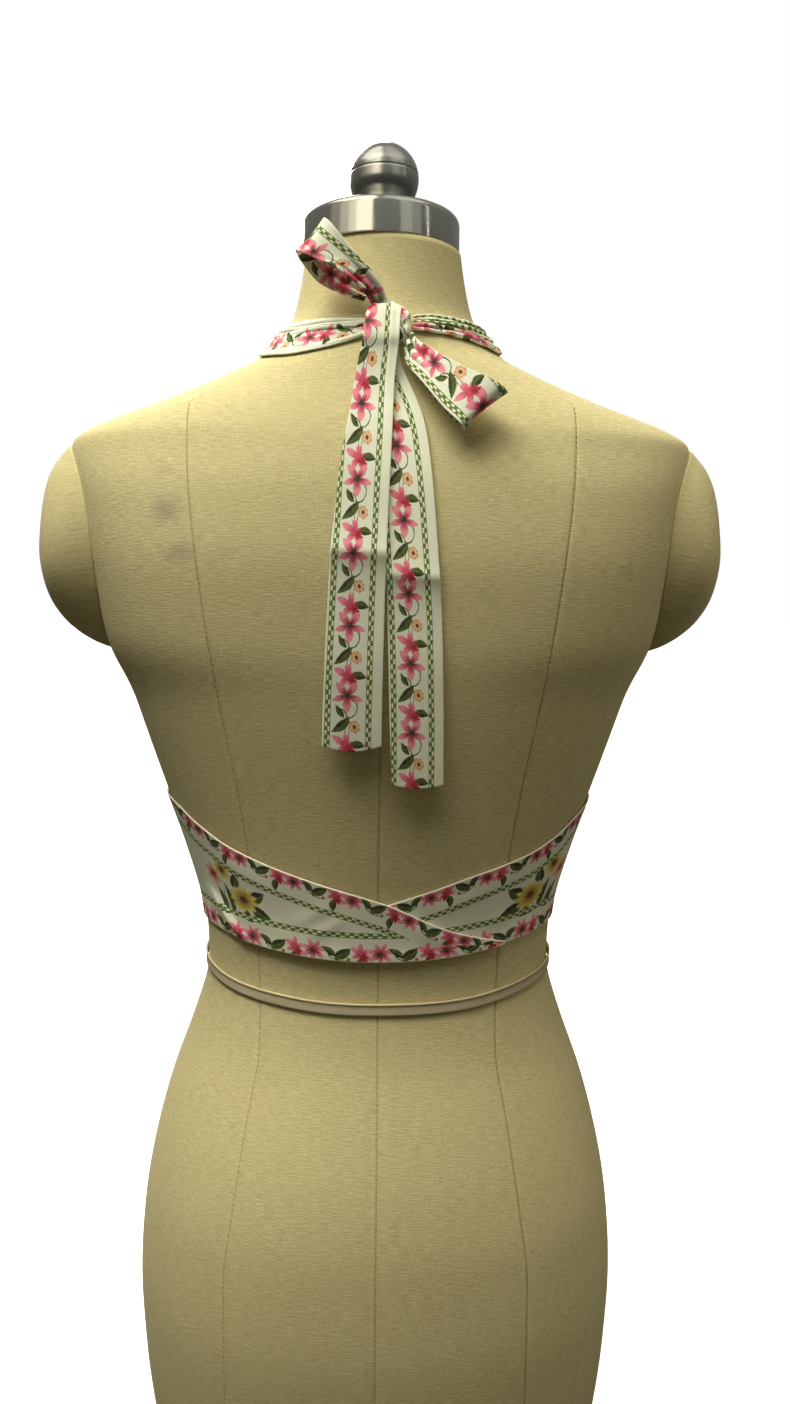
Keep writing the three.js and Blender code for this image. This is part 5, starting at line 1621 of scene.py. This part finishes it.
# %% Straps
def neck_strap(name, mirror, start, shown, pleats, crumple, phase):
    """start shifts the end at the knot, and crumple is the height of its creases."""
    rows = dict(STRAP_ROWS)
    if mirror:
        for edge, higher in RIGHT_HIGHER.items():
            rows[edge] = rows[edge] + higher
    place = np.arange(len(rows["face"]))
    shift = np.where(place == 0, start, 0)
    inner, outer = ([float(angle_at(x, z, face)) for x, z, face in zip(
        rows[edge + "_x"] + shift, rows[edge + "_z"], rows["face"])]
        for edge in ("inner", "outer"))
    at = place[-1] * spread(260, 170)[0]
    share = spread(24, 56)[0]
    inner, outer, inner_z, outer_z = (
        curve(place, column)(at)[:, None] for column in
        (inner, outer, rows["inner_z"], rows["outer_z"]))
    angle = outer + (inner - outer) * share
    z = outer_z + (inner_z - outer_z) * share
    points = on_form(angle, z, CLOTH_GAP, CLOTH_CUPS)
    run = run_length(points, 0)[:, [len(share) // 2]]
    width = run_length(points, 1)[:, [-1]]
    crushed = np.clip(1 - (run - PLEATS_FULL) / PLEATS_FADE, 0.12, 1)
    lift = 0 * z
    for where, wander, height, under, over in pleats:
        off = share - where - wander * np.sin(run / 17 + 9 * where)
        side_width = np.where(off < 0, under, over)
        swell = 0.75 + 0.35 * np.sin(run / 13 + 20 * where)
        lift += height * swell * crushed * np.exp(-(off / side_width) ** 2)
    creases = np.sin(run / 4.1 + 6 * share) * np.sin(run / 6.3 - 9 * share)
    lift += crumple * crushed * (creases + 0.6)
    flat = share * width
    folded = np.interp(share, shown["share"], shown["on_tie"])
    opened = np.clip((run - WIDTH_HIDDEN) / WIDTH_OPENS, 0, 1)
    from_edge = folded + (flat - folded) * opened
    maps = {"upper": border_map(run, VINE_ON_TIE - from_edge, -phase, TIE_SCALE),
            "panel": np.stack([flat, run + 0 * z], -1)}
    if mirror:
        points = points * (-1, 1, 1)
    print(name, round(float(run[-1, 0])), "mm long")
    return cloth(name, points, maps, lift=lift, flip=mirror)

# %% Both straps
strap_left = neck_strap("strap_left_cotton", False, 0, LEFT_SHOWN, LEFT_PLEATS,
                        crumple=0.12, phase=15)
strap_right = neck_strap("strap_right_cotton", True, 9, RIGHT_SHOWN, RIGHT_PLEATS,
                         crumple=0.6, phase=5)
hand_over(strap_left, tie_print, "printed_cotton", "strap_left")
hand_over(strap_right, tie_print, "printed_cotton", "strap_right")

# %% [markdown]
# ## Front
# The front is one panel with a V neck, shaped by a dart from each side seam and one
# from the hem. The grid runs from the neckline to the outer edge, round from one strap
# to the other, so its lines follow every edge.

# %% Edges and darts of the front
# The neckline from the strap to the point of the V, and the armhole edge.
NECKLINE = table("share x z", """
    0    61 702
    0.3  44 664
    0.55 29 632
    0.78 14 600
    1    0  572""")
ARMHOLE = table("share x z", """
    0    100 700
    0.15 110 670
    0.3  119 641
    0.46 129 611
    0.65 139 574
    0.83 148 538""")
ARMHOLE_ENDS, SIDE_ENDS = 0.42, 0.58          # shares of the outer edge
FRONT_FOLDS = [
    (146, 522, 104, 546, -0.55, 1.5), (90, 420, 86, 508, -0.55, 1.5),
    (150, 505, 96, 470, 0.5, 6), (140, 450, 80, 436, 0.6, 6), (60, 470, 20, 440, 0.5, 7),
    (40, 430, 8, 426, 0.5, 5), (128, 620, 96, 600, 0.4, 5), (30, 560, 60, 520, 0.4, 6),
]
print("two darts and", len(FRONT_FOLDS) - 2, "folds a side")

# %% Front
def front_panel():
    u = np.unique(np.concatenate([1 - spread(380, 74)[0], [ARMHOLE_ENDS, SIDE_ENDS]]))
    u = u[(u < 0.985) | (u == 1)]
    neck_share = np.interp(u, [0, ARMHOLE_ENDS, SIDE_ENDS, 1], [0, 0.52, 0.68, 1])
    neck_x, neck_z = (line(neck_share) for line in curves(NECKLINE))
    arm_share = np.clip(u / ARMHOLE_ENDS, 0, 1)
    turns = [float(angle_at(x, z, -1)) for x, z in zip(ARMHOLE["x"], ARMHOLE["z"])]
    arm_at = np.append(ARMHOLE["share"], 1)
    arm_turn = curve(arm_at, np.append(turns, SIDE_SEAM - 0.1))(arm_share)
    arm_z = curve(arm_at, np.append(ARMHOLE["z"], SIDE_SEAM_TOP))(arm_share)
    side_share = np.clip((u - ARMHOLE_ENDS) / (SIDE_ENDS - ARMHOLE_ENDS), 0, 1)
    hem_share = np.clip((u - SIDE_ENDS) / (1 - SIDE_ENDS), 0, 1)
    outer_turn = arm_turn + (-90 - SIDE_SEAM + 0.1) * hem_share
    outer_z = arm_z + (HEM_SIDE - SIDE_SEAM_TOP) * side_share
    neck_turn = np.array([float(angle_at(x, z, -1)) for x, z in zip(neck_x, neck_z)])
    share = spread(150, 72)[0]
    angle = neck_turn[:, None] + (outer_turn - neck_turn)[:, None] * share
    z = neck_z[:, None] + (outer_z - neck_z)[:, None] * share
    angle = np.concatenate([angle, -180 - angle[-2::-1]])
    z = np.concatenate([z, z[-2::-1]])
    points = on_form(angle, z, FRONT_GAP, CLOTH_CUPS)
    count, half = len(z), len(u)
    arm, corner = np.argmin(abs(u - ARMHOLE_ENDS)), np.argmin(abs(u - SIDE_ENDS))
    neck = edge_map(points, points[:, 0])
    hem = edge_map(points, points[corner:count - corner, -1])
    hem_middle = run_length(points[corner:count - corner, -1], 0)[half - 1 - corner]
    arm_left = edge_map(points[:half], points[arm::-1, -1])
    arm_right = edge_map(points[half:], points[count - 1 - arm:, -1])
    arms = np.concatenate([arm_left, arm_right])
    across = np.abs(points[..., 0])
    flat = np.stack([across, z], -1)
    ripple = 0.2 * np.sin(across / 9 + z / 17) * np.sin(z / 23 + 1)
    lift = np.maximum(folds(flat, FRONT_FOLDS) + ripple, -0.8)
    maps = {
        "neck": border_map(neck[..., 0], neck[..., 1] - VINE_BELOW_EDGE, 0, EDGE_SCALE),
        "upper": border_map(-arms[..., 0], arms[..., 1] - VINE_BELOW_EDGE, 0, EDGE_SCALE),
        "hem": border_map(hem[..., 0], VINE_ABOVE_HEM - hem[..., 1], hem_middle, HEM_SCALE),
        "panel": np.stack([across - 92, z - 468], -1),
    }
    print("front grid", points.shape[:2])
    return cloth("front_cotton", points, maps, lift=lift, flip=True)

# %% Place the front
front = front_panel()
hand_over(front, front_print, "printed_cotton", "front")

# %% Cloth of each piece
def one_side(piece):
    """Half the surface of a closed cloth wall, in square metres."""
    return sum(face.area for face in piece.data.polygons) / 2


for piece in (wing_left, wing_right, tail_left, tail_right, loop_upper, loop_lower,
              strap_left, strap_right, front, knot):
    print(f"{piece.name}: {one_side(piece) * 1e4:.0f} square centimetres")
